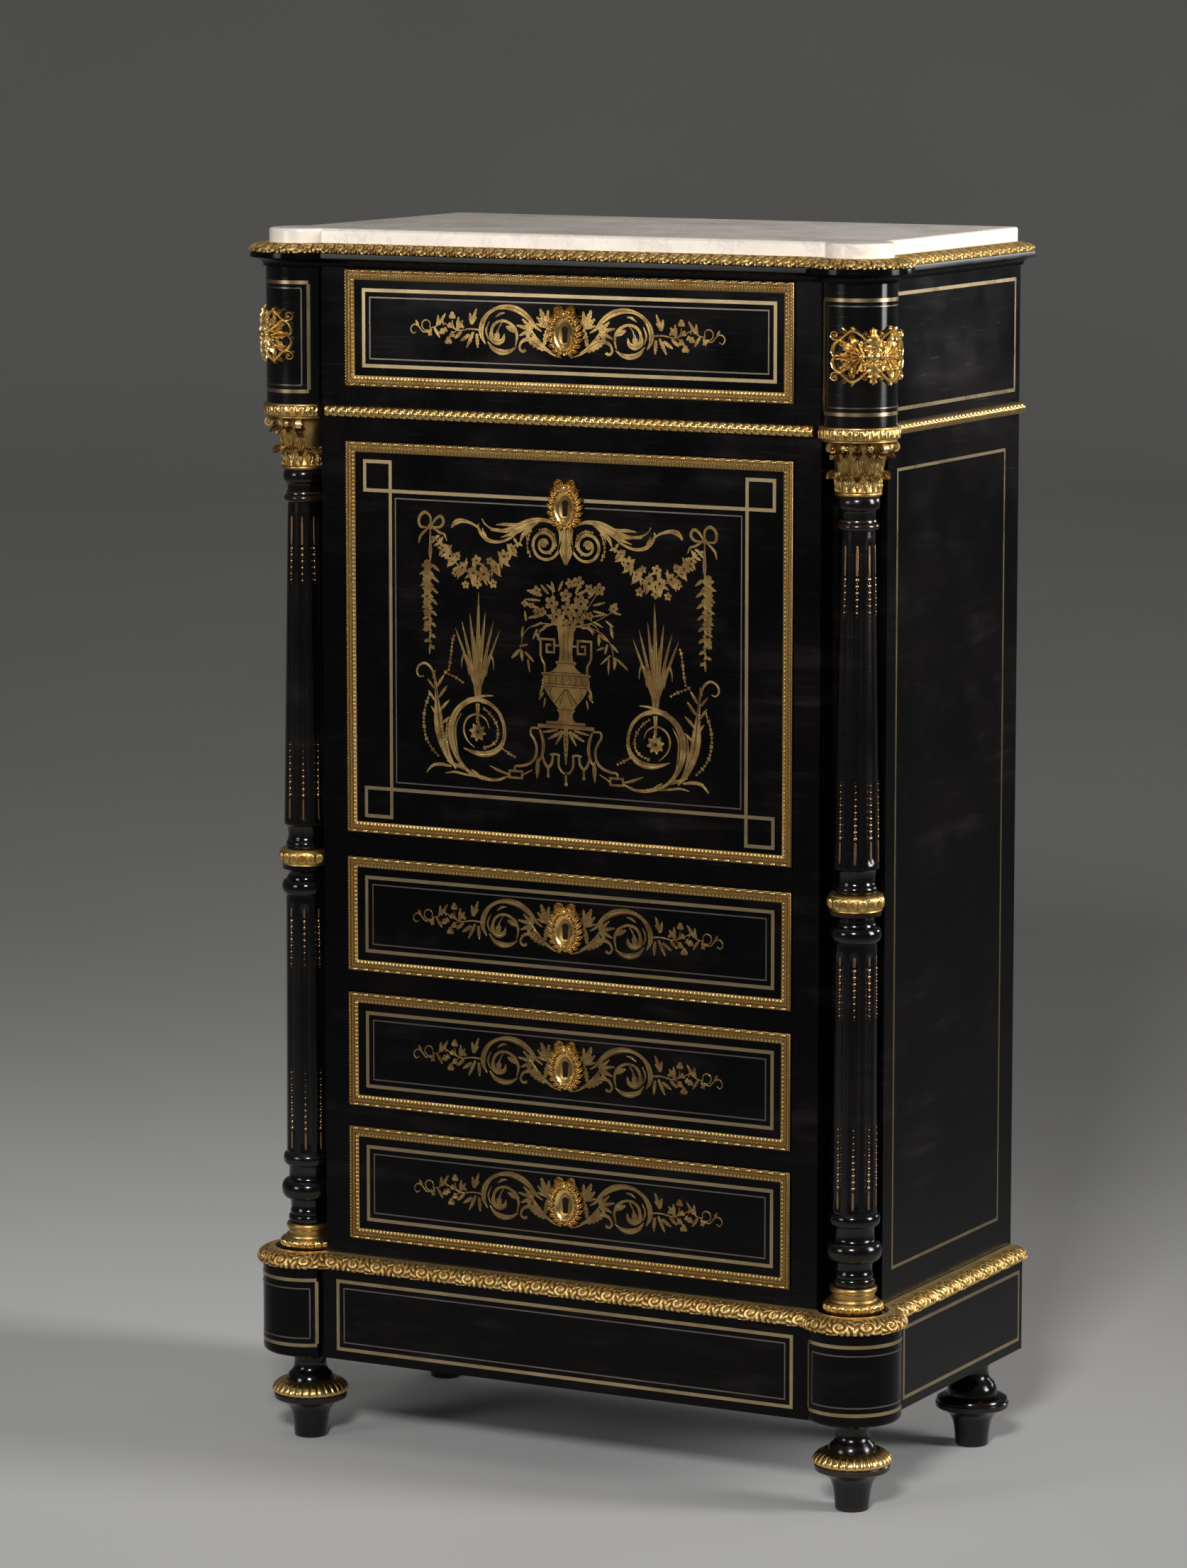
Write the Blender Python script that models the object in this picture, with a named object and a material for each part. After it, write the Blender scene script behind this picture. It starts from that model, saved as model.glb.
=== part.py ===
"""Ebonised fall-front secretaire with gilt mounts and a marble top, each separate piece its own solid.

All driving sizes are in millimetres. The front plane of the carcass is y = 0 here, the back is at
+y and the floor is z = 0; the whole is moved in y at the end so that its box is centred.
"""
import bmesh
import bpy
from math import atan2, cos, pi, sin, sqrt

for old in list(bpy.data.objects):
    bpy.data.objects.remove(old)

# Clearances
GAP = 0.3
RUN = 1.0

# Carcass
BODY_HALF = 366.0
BODY_DEPTH = 403.0
SIDE_T = 18.0
POST_T = 20.0
BACK_T = 10.0
BACK_INSET = 2.0
BOARD_T = 18.0
STILE_W = 86.0

# Heights, from the floor up
FOOT_H = 103.5
PLINTH_H = 104.9
BOTTOM_RAIL = 36.6
DRAWER_H = 131.0
LOWER_RAIL = 24.3
MIDDLE_RAIL = 25.5
UPPER_RAIL = 22.2
FALL_H = 450.0
FALL_RAIL = 26.0
TORUS_H = 14.6
FRIEZE_RAIL = 21.4
FRIEZE_DRAWER_H = 131.0
TOP_RAIL = 1.2
COVE_H = 9.8
CORNICE_H = 16.1
GALLERY_H = 10.4
MARBLE_T = 26.1

# Corner columns: axis in from the side and behind the front plane, and the square recess they stand in
AXIS_INSET = 18.5
AXIS_Y = 20.0
RECESS = 35.0

# Plinth
PLINTH_OUT = 15.0
PLINTH_WALL = 40.0
PLINTH_DRUM_R = 53.8
PLINTH_EASE = 6.0
PLINTH_CAP_H = 13.6
PLINTH_CAP_R = 38.4
PLINTH_BAND_H = 17.1
PLINTH_BAND_OUT = 8.0

# Drawers and fall
FRONT_T = 22.0
FALL_LIP = 6.3
TRAY_SIDE = 4.0
TRAY_BACK = 19.0
TRAY_WALL = 11.0
TRAY_FLOOR = 8.0
TRAY_DROP = 14.0

# Gilt frames round the fronts
FRAME_W = 12.0
FRAME_H = 4.8

# Keyhole plates
PLATE_HALF_W = 21.5
PLATE_HALF_H = 27.5
PLATE_H = 7.5
DRAWER_PLATE_LIFT = 4.0
FALL_PLATE_DROP = 60.0
KEYHOLE_R = 2.6
KEYHOLE_SLOT = 9.0
KEYHOLE_LIFT = 3.0

# Frieze
FRIEZE_DRUM_R = 41.6
TORUS_OUT = 8.5
ABACUS_R = 46.0
MOUNT_HALF_H = 31.0
MOUNT_SPAN = 62.0
MOUNT_T = 8.0

# Cornice, gallery band and marble
CORNICE_OUT = 18.0
COVE_START = 3.0
GALLERY_OUT = 20.2
GALLERY_LEDGE = 16.0
MARBLE_INSET = 4.0
MARBLE_EASE = 2.0

# Turned columns: gilt base, lower shaft, gilt collar, upper shaft, gilt capital
BASE_H = 31.2
BASE_R = 33.8
BASE_NECK_R = 23.8
BASE_BEAD_R = 26.2
FOOT_BEAD_H = 9.8
FOOT_BEAD_R = 23.8
NECK_R = 21.0
NECK_H = 18.4
KNOP_R = 31.5
KNOP_H = 22.9
WAIST_R = 23.1
WAIST_H = 17.1
RING_R = 29.2
RING_H = 14.2
SHAFT_R = 25.4
SHAFT_HEAD_R = 23.9
SHAFT_TOP_R = 19.2
SHAFT_FILLET = 6.4
HEAD_RING_R = 28.5
HEAD_RING_H = 17.4
HEAD_NECK_R = 20.8
HEAD_NECK_H = 12.4
FLANGE_R = 28.0
FLANGE_H = 4.8
COLLAR_DROP = 39.0
COLLAR_H = 19.2
COLLAR_R = 31.5
UPPER_BEAD_H = 8.5
UPPER_BEAD_R = 23.5
SWELL_H = 21.3
ASTRAGAL_R = 23.1
ASTRAGAL_H = 8.4
CAPITAL_NECK_H = 13.9
CAPITAL_RING_R = 23.8
CAPITAL_RING_H = 14.6
CAPITAL_H = 61.9
CAPITAL_R = 45.0
FLUTES = 8
FLUTE_DEPTH = 1.3

# Feet
TOE_R = 17.5
SAUCER_R = 42.3
FOOT_RING_Z = 53.0
FOOT_RING_H = 16.0
FOOT_RING_R = 44.6
FOOT_STEM_R = 27.7
FOOT_NECK_R = 18.5
FOOT_HEAD_R = 27.0
FOOT_REAR_INSET = 63.0

# Inside the fall
CASE_ROOM = 73.0
CASE_SIDE = 2.0
CASE_WALL = 9.0
CASE_SHELF = 250.0

# Places that follow from the sizes above
AXIS_X = BODY_HALF - AXIS_INSET
NOTCH_X = AXIS_X - RECESS
NOTCH_Y = AXIS_Y + RECESS
FRONT_HALF = BODY_HALF - STILE_W
FRONT_POST = FRONT_HALF + RUN
TRAY_HALF = FRONT_HALF - TRAY_SIDE
BACK_Y = BODY_DEPTH - BACK_INSET - BACK_T
TRAY_END = BACK_Y - TRAY_BACK
CASE_FRONT = FRONT_T + CASE_ROOM
FOOT_REAR_Y = BODY_DEPTH - FOOT_REAR_INSET
FOOT_RING_TOP = FOOT_RING_Z + FOOT_RING_H
PLINTH_TOP = FOOT_H + PLINTH_H
PLINTH_CAP_Z = PLINTH_TOP + PLINTH_CAP_H
PLINTH_BAND_TOP = PLINTH_TOP + PLINTH_BAND_H
LOWER_Z = PLINTH_TOP + BOTTOM_RAIL
MIDDLE_Z = LOWER_Z + DRAWER_H + LOWER_RAIL
UPPER_Z = MIDDLE_Z + DRAWER_H + MIDDLE_RAIL
FALL_Z = UPPER_Z + DRAWER_H + UPPER_RAIL
FALL_TOP = FALL_Z + FALL_H
TORUS_Z = FALL_TOP + FALL_RAIL
TORUS_TOP = TORUS_Z + TORUS_H
FRIEZE_Z = TORUS_TOP + FRIEZE_RAIL
CARCASS_TOP = FRIEZE_Z + FRIEZE_DRAWER_H + TOP_RAIL
CORNICE_Z = CARCASS_TOP + GAP
COVE_TOP = CORNICE_Z + COVE_H
CORNICE_TOP = CORNICE_Z + CORNICE_H
GALLERY_TOP = CORNICE_TOP + GALLERY_H
MARBLE_TOP = CORNICE_TOP + GAP + MARBLE_T
BASE_TOP = PLINTH_CAP_Z + BASE_H
COLLAR_Z = FALL_Z - COLLAR_DROP
COLLAR_TOP = COLLAR_Z + COLLAR_H
CAPITAL_Z = TORUS_Z - CAPITAL_H
CASE_SHELF_Z = FALL_Z + CASE_SHELF

BLACK = ((0.012, 0.011, 0.010), 0.0, 0.28)
GILT = ((0.80, 0.54, 0.17), 1.0, 0.35)
MARBLE = ((0.86, 0.82, 0.76), 0.0, 0.30)
INNER = ((0.30, 0.19, 0.10), 0.0, 0.55)


def finish(name, verts, faces, look, origin=(0.0, 0.0, 0.0), helper=False):
    """One object from points in mm, with its normals facing out and its origin at the given point."""
    mesh = bpy.data.meshes.new(name)
    shift = [origin[0], origin[1], origin[2]]
    mesh.from_pydata(
        [[(v[k] - shift[k]) * 0.001 for k in range(3)] for v in verts], [], faces
    )
    work = bmesh.new()
    work.from_mesh(mesh)
    bmesh.ops.recalc_face_normals(work, faces=work.faces)
    work.to_mesh(mesh)
    work.free()
    obj = bpy.data.objects.new(name, mesh)
    obj.location = (shift[0] * 0.001, (shift[1] + SHIFT_Y) * 0.001, shift[2] * 0.001)
    bpy.context.scene.collection.objects.link(obj)
    if origin == (0.0, 0.0, 0.0):
        obj.location = (0.0, SHIFT_Y * 0.001, 0.0)
    if helper:
        obj.hide_render = True
        obj.display_type = "WIRE"
        return obj
    colour, metal, rough = look
    material = bpy.data.materials.new(name)
    material.use_nodes = True
    shader = material.node_tree.nodes["Principled BSDF"]
    shader.inputs["Base Color"].default_value = (*colour, 1.0)
    shader.inputs["Metallic"].default_value = metal
    shader.inputs["Roughness"].default_value = rough
    material.diffuse_color = (*colour, 1.0)
    mesh.materials.append(material)
    return obj


def boolean(obj, other, operation):
    modifier = obj.modifiers.new(operation.lower(), "BOOLEAN")
    modifier.operation = operation
    modifier.solver = "EXACT"
    modifier.object = other


def rings(loops, closed_stack=False):
    """Faces joining loops of equal length; the first and last are capped unless the stack closes."""
    count = len(loops[0])
    verts = [p for loop in loops for p in loop]
    faces = []
    stack = len(loops)
    for i in range(stack if closed_stack else stack - 1):
        j = (i + 1) % stack
        for k in range(count):
            m = (k + 1) % count
            faces.append((i * count + k, i * count + m, j * count + m, j * count + k))
    if not closed_stack:
        faces.append(tuple(range(count)))
        faces.append(tuple((stack - 1) * count + k for k in range(count)))
    return verts, faces


def prism(name, plan, low, high, look, **more):
    loops = [[(x, y, z) for x, y in plan] for z in (low, high)]
    return finish(name, *rings(loops), look, **more)


def box(name, x0, x1, y0, y1, z0, z1, look, **more):
    plan = [(x0, y0), (x1, y0), (x1, y1), (x0, y1)]
    return prism(name, plan, z0, z1, look, **more)


def lathe(name, profile, x, y, look, sides=24, closed=False, flute=None):
    """A turned piece from (radius, height) pairs; flute gives the depth at each pair."""
    loops = []
    for i, (radius, z) in enumerate(profile):
        loop = []
        for k in range(sides):
            angle = 2 * pi * k / sides
            cut = flute[i] if flute and k % (sides // FLUTES) else 0.0
            loop.append(
                (x + (radius - cut) * cos(angle), y + (radius - cut) * sin(angle), z)
            )
        loops.append(loop)
    return finish(name, *rings(loops, closed), look)


def bead(inner, outer, low, high, steps=3):
    """A half-round from low to high, standing out from inner to outer."""
    points = []
    for i in range(steps + 1):
        turn = pi * i / steps
        z = (low + high) / 2 - (high - low) / 2 * cos(turn)
        points.append((inner + (outer - inner) * sin(turn), z))
    return points


def outline(half, front, radius, offset, back, steps=9):
    """The plan of a rectangle with a round at each front corner, grown by offset, open at the back."""
    side = half + offset
    line = front - offset
    r = radius + offset
    start = atan2(sqrt(r * r - (side - AXIS_X) ** 2), side - AXIS_X)
    end = atan2(line - AXIS_Y, -sqrt(r * r - (line - AXIS_Y) ** 2))
    right = [(side, back)]
    for i in range(steps + 1):
        angle = start + (end - start) * i / steps
        right.append((AXIS_X + r * cos(angle), AXIS_Y + r * sin(angle)))
    return right + [(-x, y) for x, y in reversed(right)]


band_plan = outline(
    BODY_HALF + PLINTH_OUT, -PLINTH_OUT, PLINTH_DRUM_R, PLINTH_BAND_OUT, BODY_DEPTH
)
SHIFT_Y = -(min(y for x, y in band_plan) + BODY_DEPTH) / 2


def slab(name, half, front, radius, steps, look):
    loops = []
    for offset, z in steps:
        plan = outline(half, front, radius, offset, BODY_DEPTH)
        loops.append([(x, y, z) for x, y in plan])
    return finish(name, *rings(loops), look)


def band(name, half, front, radius, profile, look):
    """A moulding of closed profile (offset, z) led round the two sides and the front."""
    lines = []
    for offset, z in profile:
        plan = outline(half, front, radius, offset, BODY_DEPTH)
        lines.append([(x, y, z) for x, y in plan])
    loops = [[line[k] for line in lines] for k in range(len(lines[0]))]
    return finish(name, *rings(loops), look)


def frame(name, half, low, high, look, origin):
    """A mitred gilt frame lying on a front: a bead between two fillets."""
    profile = [
        (0.0, -GAP),
        (0.0, -FRAME_H * 0.55),
        (FRAME_W * 0.18, -FRAME_H),
        (FRAME_W * 0.58, -FRAME_H * 0.9),
        (FRAME_W * 0.78, -FRAME_H * 0.5),
        (FRAME_W, -FRAME_H * 0.4),
        (FRAME_W, -GAP),
    ]
    loops = []
    for inset, y in profile:
        loops.append(
            [
                (-half + inset, y, low + inset),
                (half - inset, y, low + inset),
                (half - inset, y, high - inset),
                (-half + inset, y, high - inset),
            ]
        )
    return finish(name, *rings(loops, True), look, origin=origin)


def keyhole_plate(name, z, origin):
    """An oval plate with a raised rim and a keyhole through it."""
    steps = ((1.0, 0.04), (1.0, 0.45), (0.86, 1.0), (0.68, 0.9), (0.55, 0.5))
    loops = []
    for size, height in steps:
        loop = []
        for k in range(16):
            angle = 2 * pi * k / 16
            x = PLATE_HALF_W * size * cos(angle)
            loop.append((x, -PLATE_H * height, z + PLATE_HALF_H * size * sin(angle)))
        loops.append(loop)
    plate = finish(name, *rings(loops), GILT, origin=origin)
    hole = []
    for k in range(6):
        angle = -pi / 3 + (pi + 2 * pi / 3) * k / 5
        hole.append((KEYHOLE_R * cos(angle), z + KEYHOLE_LIFT + KEYHOLE_R * sin(angle)))
    hole.append((-KEYHOLE_R * 0.5, z + KEYHOLE_LIFT - KEYHOLE_SLOT))
    hole.append((KEYHOLE_R * 0.5, z + KEYHOLE_LIFT - KEYHOLE_SLOT))
    loops = [[(x, y, h) for x, h in hole] for y in (-PLATE_H - 2.0, 2.0)]
    cutter = finish(name + "_cut", *rings(loops), None, helper=True)
    boolean(plate, cutter, "DIFFERENCE")
    return plate


def mirrored(plan):
    return [(-x, y) for x, y in reversed(plan)]


# Regions of the carcass and of the plinth that the round corner blocks are cut back to
def corner_plan(half, front):
    return [
        (0.0, front - GAP),
        (NOTCH_X + GAP, front - GAP),
        (NOTCH_X + GAP, NOTCH_Y - GAP),
        (half + GAP, NOTCH_Y - GAP),
        (half + GAP, BODY_DEPTH + PLINTH_WALL),
        (0.0, BODY_DEPTH + PLINTH_WALL),
    ]


seam = PLINTH_TOP + GAP / 2
carcass_plan = corner_plan(BODY_HALF, 0.0)
plinth_plan = corner_plan(BODY_HALF + PLINTH_OUT, -PLINTH_OUT)
cutters = {
    "right": (
        prism("carcass_cut_right", carcass_plan, seam, CORNICE_TOP, None, helper=True),
        prism("plinth_cut_right", plinth_plan, 0.0, seam, None, helper=True),
    ),
    "left": (
        prism("carcass_cut_left", mirrored(carcass_plan), seam, CORNICE_TOP, None, helper=True),
        prism("plinth_cut_left", mirrored(plinth_plan), 0.0, seam, None, helper=True),
    ),
}

# Plinth, its corner blocks and the gilt band on it
carcass_low = PLINTH_TOP + GAP
plinth_half = BODY_HALF + PLINTH_OUT
plinth_right = [
    (NOTCH_X, -PLINTH_OUT),
    (NOTCH_X, NOTCH_Y),
    (plinth_half, NOTCH_Y),
    (plinth_half, BODY_DEPTH),
]
plinth = prism(
    "plinth_frame",
    plinth_right + mirrored(plinth_right),
    FOOT_H,
    PLINTH_TOP,
    BLACK,
)
hollow_right = [
    (NOTCH_X - PLINTH_WALL, -PLINTH_OUT + PLINTH_WALL),
    (NOTCH_X - PLINTH_WALL, NOTCH_Y + PLINTH_WALL),
    (plinth_half - PLINTH_WALL, NOTCH_Y + PLINTH_WALL),
    (plinth_half - PLINTH_WALL, BODY_DEPTH - PLINTH_WALL),
]
hollow = prism(
    "plinth_hollow",
    hollow_right + mirrored(hollow_right),
    FOOT_H - PLINTH_WALL,
    PLINTH_TOP + PLINTH_WALL,
    None,
    helper=True,
)
boolean(plinth, hollow, "DIFFERENCE")
band(
    "plinth_band",
    plinth_half,
    -PLINTH_OUT,
    PLINTH_DRUM_R,
    [
        (-PLINTH_OUT + 2 * GAP, PLINTH_TOP + GAP),
        (PLINTH_BAND_OUT * 0.7, PLINTH_TOP + GAP),
        (PLINTH_BAND_OUT, PLINTH_TOP + PLINTH_BAND_H * 0.29),
        (PLINTH_BAND_OUT * 0.8, PLINTH_TOP + PLINTH_BAND_H * 0.56),
        (PLINTH_BAND_OUT * 0.1, PLINTH_TOP + PLINTH_BAND_H * 0.8),
        (-PLINTH_OUT * 0.35, PLINTH_TOP + PLINTH_BAND_H * 0.88),
        (-PLINTH_OUT + 2 * GAP, PLINTH_BAND_TOP),
    ],
    GILT,
)

for side, sign in (("left", -1.0), ("right", 1.0)):
    x = sign * AXIS_X
    carcass_cut, plinth_cut = cutters[side]
    drum = lathe(
        "plinth_drum_" + side,
        [
            (PLINTH_DRUM_R - PLINTH_EASE, FOOT_H),
            (PLINTH_DRUM_R, FOOT_H + PLINTH_EASE),
            (PLINTH_DRUM_R, PLINTH_TOP),
            (PLINTH_CAP_R, PLINTH_TOP),
            (PLINTH_CAP_R, PLINTH_CAP_Z),
        ],
        x,
        AXIS_Y,
        BLACK,
        sides=32,
    )
    boolean(drum, plinth_cut, "DIFFERENCE")
    boolean(drum, carcass_cut, "DIFFERENCE")

    # Column, from its gilt base up
    base_low = PLINTH_CAP_Z + GAP
    lathe(
        "column_base_" + side,
        bead(BASE_NECK_R + 4.2, BASE_R, base_low, PLINTH_CAP_Z + BASE_H * 0.465)
        + [
            (BASE_NECK_R, PLINTH_CAP_Z + BASE_H * 0.53),
            (BASE_NECK_R, PLINTH_CAP_Z + BASE_H * 0.74),
        ]
        + bead(BASE_NECK_R - GAP, BASE_BEAD_R, PLINTH_CAP_Z + BASE_H * 0.77, BASE_TOP),
        x,
        AXIS_Y,
        GILT,
    )
    neck = BASE_TOP + FOOT_BEAD_H
    knop = neck + NECK_H
    waist = knop + KNOP_H
    ring = waist + WAIST_H
    shaft = ring + RING_H
    flange = COLLAR_Z - FLANGE_H
    head_neck = flange - HEAD_NECK_H
    head_ring = head_neck - HEAD_RING_H
    lower = bead(NECK_R + 0.5, FOOT_BEAD_R, BASE_TOP + GAP, neck)
    lower += [(NECK_R, neck + 3.0), (NECK_R + 0.5, knop - 1.4)]
    lower += bead(WAIST_R + 0.9, KNOP_R, knop, waist)
    lower += [(WAIST_R, waist + 2.7), (WAIST_R, ring - 1.4)]
    lower += bead(SHAFT_R + 0.1, RING_R, ring, shaft)
    plain = len(lower)
    lower += [(SHAFT_R, shaft + 2.4), (SHAFT_R, shaft + SHAFT_FILLET)]
    lower += [(SHAFT_HEAD_R, head_ring - 2 * SHAFT_FILLET), (SHAFT_HEAD_R, head_ring - SHAFT_FILLET)]
    lower += bead(SHAFT_HEAD_R - 0.4, HEAD_RING_R, head_ring, head_neck)
    lower += [(HEAD_NECK_R, head_neck + 2.2), (HEAD_NECK_R, flange - 4.2)]
    lower += [(FLANGE_R, flange), (FLANGE_R, COLLAR_Z - GAP)]
    depth = [0.0] * len(lower)
    depth[plain + 1] = FLUTE_DEPTH
    depth[plain + 2] = FLUTE_DEPTH
    lathe("column_lower_" + side, lower, x, AXIS_Y, BLACK, flute=depth)
    lathe(
        "column_collar_" + side,
        bead(FLANGE_R + 0.5, COLLAR_R, COLLAR_Z, COLLAR_TOP - GAP),
        x,
        AXIS_Y,
        GILT,
    )
    swell = COLLAR_TOP + UPPER_BEAD_H
    shaft = swell + SWELL_H
    capital_ring = CAPITAL_Z - CAPITAL_RING_H
    capital_neck = capital_ring - CAPITAL_NECK_H
    astragal = capital_neck - ASTRAGAL_H
    upper = bead(NECK_R + 0.5, UPPER_BEAD_R, COLLAR_TOP, swell)
    upper += [(NECK_R, swell + 2.3), (NECK_R + 0.5, swell + SHAFT_FILLET)]
    upper += [(SHAFT_R - RUN, shaft - 1.25 * SHAFT_FILLET), (SHAFT_R, shaft)]
    plain = len(upper)
    upper += [(SHAFT_R, shaft + 4.0), (SHAFT_TOP_R, astragal - 1.75 * SHAFT_FILLET)]
    upper += [(SHAFT_TOP_R - 0.2, astragal - 1.1 * SHAFT_FILLET), (SHAFT_TOP_R - 0.4, astragal - 1.2)]
    upper += bead(SHAFT_TOP_R + 0.3, ASTRAGAL_R, astragal, capital_neck)
    upper += [(SHAFT_TOP_R, capital_neck + 2.4), (SHAFT_TOP_R, capital_ring - 3.5)]
    upper += bead(SHAFT_TOP_R + 1.8, CAPITAL_RING_R, capital_ring, CAPITAL_Z - GAP)
    depth = [0.0] * len(upper)
    depth[plain] = FLUTE_DEPTH
    depth[plain + 1] = FLUTE_DEPTH
    lathe("column_upper_" + side, upper, x, AXIS_Y, BLACK, flute=depth)
    bell = (
        (0.533, 0.0),
        (0.569, 0.048),
        (0.547, 0.113),
        (0.569, 0.242),
        (0.702, 0.388),
        (0.636, 0.452),
        (0.689, 0.679),
        (0.989, 0.792),
        (1.0, 0.937),
        (0.911, 1.0),
    )
    capital = lathe(
        "column_capital_" + side,
        [(CAPITAL_R * wide, CAPITAL_Z + CAPITAL_H * high) for wide, high in bell]
        + [
            (ABACUS_R, TORUS_Z + TORUS_H * 0.17),
            (ABACUS_R, TORUS_Z + TORUS_H * 0.79),
            (ABACUS_R - 3.0, TORUS_TOP - GAP),
        ],
        x,
        AXIS_Y,
        GILT,
    )
    boolean(capital, carcass_cut, "DIFFERENCE")

    # Round block of the frieze and the gilt leaf mount facing out at 45 degrees
    block = lathe(
        "frieze_drum_" + side,
        [(FRIEZE_DRUM_R, TORUS_TOP), (FRIEZE_DRUM_R, CARCASS_TOP)],
        x,
        AXIS_Y,
        BLACK,
        sides=32,
    )
    boolean(block, carcass_cut, "DIFFERENCE")
    middle = (TORUS_TOP + CARCASS_TOP) / 2
    facing = -pi / 4 if sign > 0 else -3 * pi / 4
    around = 16
    grid = []
    for size, height in ((0.06, 1.0), (0.3, 1.0), (0.62, 0.55), (0.86, 0.7), (1.0, 0.3)):
        loop = []
        for k in range(around):
            turn = 2 * pi * k / around
            reach = size / (cos(turn) ** 4 + sin(turn) ** 4) ** 0.25
            loop.append((reach * cos(turn), reach * sin(turn), height))
        grid.append(loop)
    back = FRIEZE_DRUM_R + 5 * GAP
    loops = []
    for level in [[(u, v, 0.0) for u, v, h in loop] for loop in grid] + grid[::-1]:
        loop = []
        for u, v, h in level:
            angle = facing + u * MOUNT_SPAN * pi / 180
            r = back + h * MOUNT_T
            loop.append((x + r * cos(angle), AXIS_Y + r * sin(angle), middle + v * MOUNT_HALF_H))
        loops.append(loop)
    finish("frieze_mount_" + side, *rings(loops), GILT)

    # Feet; the front pair carry a gilt ring
    for place, y in (("front", AXIS_Y), ("rear", FOOT_REAR_Y)):
        saucer = FOOT_RING_Z - GAP
        profile = [(TOE_R, 0.0), (TOE_R * 1.086, saucer * 0.038), (TOE_R * 1.143, saucer * 0.304)]
        profile += [(TOE_R * 1.314, saucer * 0.6), (TOE_R * 1.6, saucer * 0.74)]
        profile += [(SAUCER_R - 1.8, saucer * 0.854), (SAUCER_R, saucer * 0.892), (SAUCER_R, saucer)]
        if place == "front":
            profile += [(FOOT_STEM_R, saucer), (FOOT_STEM_R, FOOT_RING_TOP)]
        else:
            profile += [(SAUCER_R - 1.8, FOOT_RING_Z + FOOT_RING_H / 4)]
            profile += [(FOOT_STEM_R + 3.0, FOOT_RING_Z + FOOT_RING_H / 2)]
            profile += [(FOOT_STEM_R, FOOT_RING_TOP)]
        rise = FOOT_H - GAP - FOOT_RING_TOP
        profile += [(FOOT_NECK_R + 6.5, FOOT_RING_TOP + rise * 0.175)]
        profile += [(FOOT_NECK_R + 1.0, FOOT_RING_TOP + rise * 0.32)]
        profile += [(FOOT_NECK_R, FOOT_RING_TOP + rise * 0.61)]
        profile += [(FOOT_NECK_R + 2.5, FOOT_RING_TOP + rise * 0.85)]
        profile += [(FOOT_HEAD_R, FOOT_H - GAP)]
        lathe(f"foot_{place}_{side}", profile, x, y, BLACK, sides=16)
    inner = FOOT_STEM_R + 2 * GAP
    lathe(
        "foot_ring_" + side,
        [
            (inner, FOOT_RING_Z),
            (FOOT_RING_R - 1.5, FOOT_RING_Z),
            (FOOT_RING_R, FOOT_RING_Z + FOOT_RING_H * 0.22),
            (FOOT_RING_R - 2.5, FOOT_RING_Z + FOOT_RING_H * 0.53),
            (FOOT_RING_R - 8.0, FOOT_RING_Z + FOOT_RING_H * 0.81),
            (inner + 3.0, FOOT_RING_TOP),
            (inner, FOOT_RING_TOP - RUN),
        ],
        x,
        AXIS_Y,
        GILT,
        sides=16,
        closed=True,
    )

    # Carcass side and corner post
    inner_face = BODY_HALF - SIDE_T
    low, high = sorted((sign * inner_face, sign * BODY_HALF))
    box("side_" + side, low, high, NOTCH_Y, BODY_DEPTH, carcass_low, CARCASS_TOP, BLACK)
    post = [
        (FRONT_POST, 0.0),
        (NOTCH_X, 0.0),
        (NOTCH_X, NOTCH_Y),
        (inner_face - GAP, NOTCH_Y),
        (inner_face - GAP, NOTCH_Y + POST_T),
        (FRONT_POST, NOTCH_Y + POST_T),
    ]
    plan = post if sign > 0 else mirrored(post)
    prism("corner_post_" + side, plan, carcass_low, CARCASS_TOP, BLACK)

    # Gilt torus along the side of the carcass
    start = AXIS_Y + sqrt((ABACUS_R + GAP) ** 2 - (BODY_HALF - AXIS_X) ** 2) + RUN
    profile = bead(0.0, TORUS_OUT, TORUS_Z, TORUS_TOP, 5)
    loops = []
    for y in (start, BODY_DEPTH):
        loops.append([(sign * (BODY_HALF + GAP + out), y, z) for out, z in profile])
    finish("frieze_torus_" + side, *rings(loops), GILT)

# Gilt torus across the front, between the two capitals
reach = AXIS_X - sqrt((ABACUS_R + GAP) ** 2 - AXIS_Y**2) - RUN
profile = bead(0.0, TORUS_OUT, TORUS_Z, TORUS_TOP, 5)
loops = []
for x in (-reach, reach):
    loops.append([(x, -GAP - out, z) for out, z in profile])
finish("frieze_torus_front", *rings(loops), GILT)

# Back and the boards between the openings
wide = BODY_HALF - SIDE_T - GAP
box("back_panel", -wide, wide, BACK_Y, BACK_Y + BACK_T, carcass_low, CARCASS_TOP, BLACK)


def board_plan():
    right = [
        (FRONT_POST - GAP, 0.0),
        (FRONT_POST - GAP, NOTCH_Y + POST_T + GAP),
        (wide, NOTCH_Y + POST_T + GAP),
        (wide, BACK_Y - GAP),
    ]
    return right + mirrored(right)


openings = (
    ("board_bottom", carcass_low, LOWER_Z),
    ("board_lower", LOWER_Z + DRAWER_H, MIDDLE_Z),
    ("board_middle", MIDDLE_Z + DRAWER_H, UPPER_Z),
    ("board_upper", UPPER_Z + DRAWER_H, FALL_Z),
)
for name, low, high in openings:
    start = low if name == "board_bottom" else low + RUN
    prism(name, board_plan(), start, high - GAP, BLACK)
board_top = FRIEZE_Z - GAP
frieze_board = prism("board_frieze", board_plan(), board_top - BOARD_T, board_top, BLACK)
rail = box(
    "frieze_rail",
    -FRONT_POST + GAP,
    FRONT_POST - GAP,
    0.0,
    FRONT_T,
    FALL_TOP + RUN,
    board_top - BOARD_T / 2,
    None,
    helper=True,
)
boolean(frieze_board, rail, "UNION")

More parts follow.
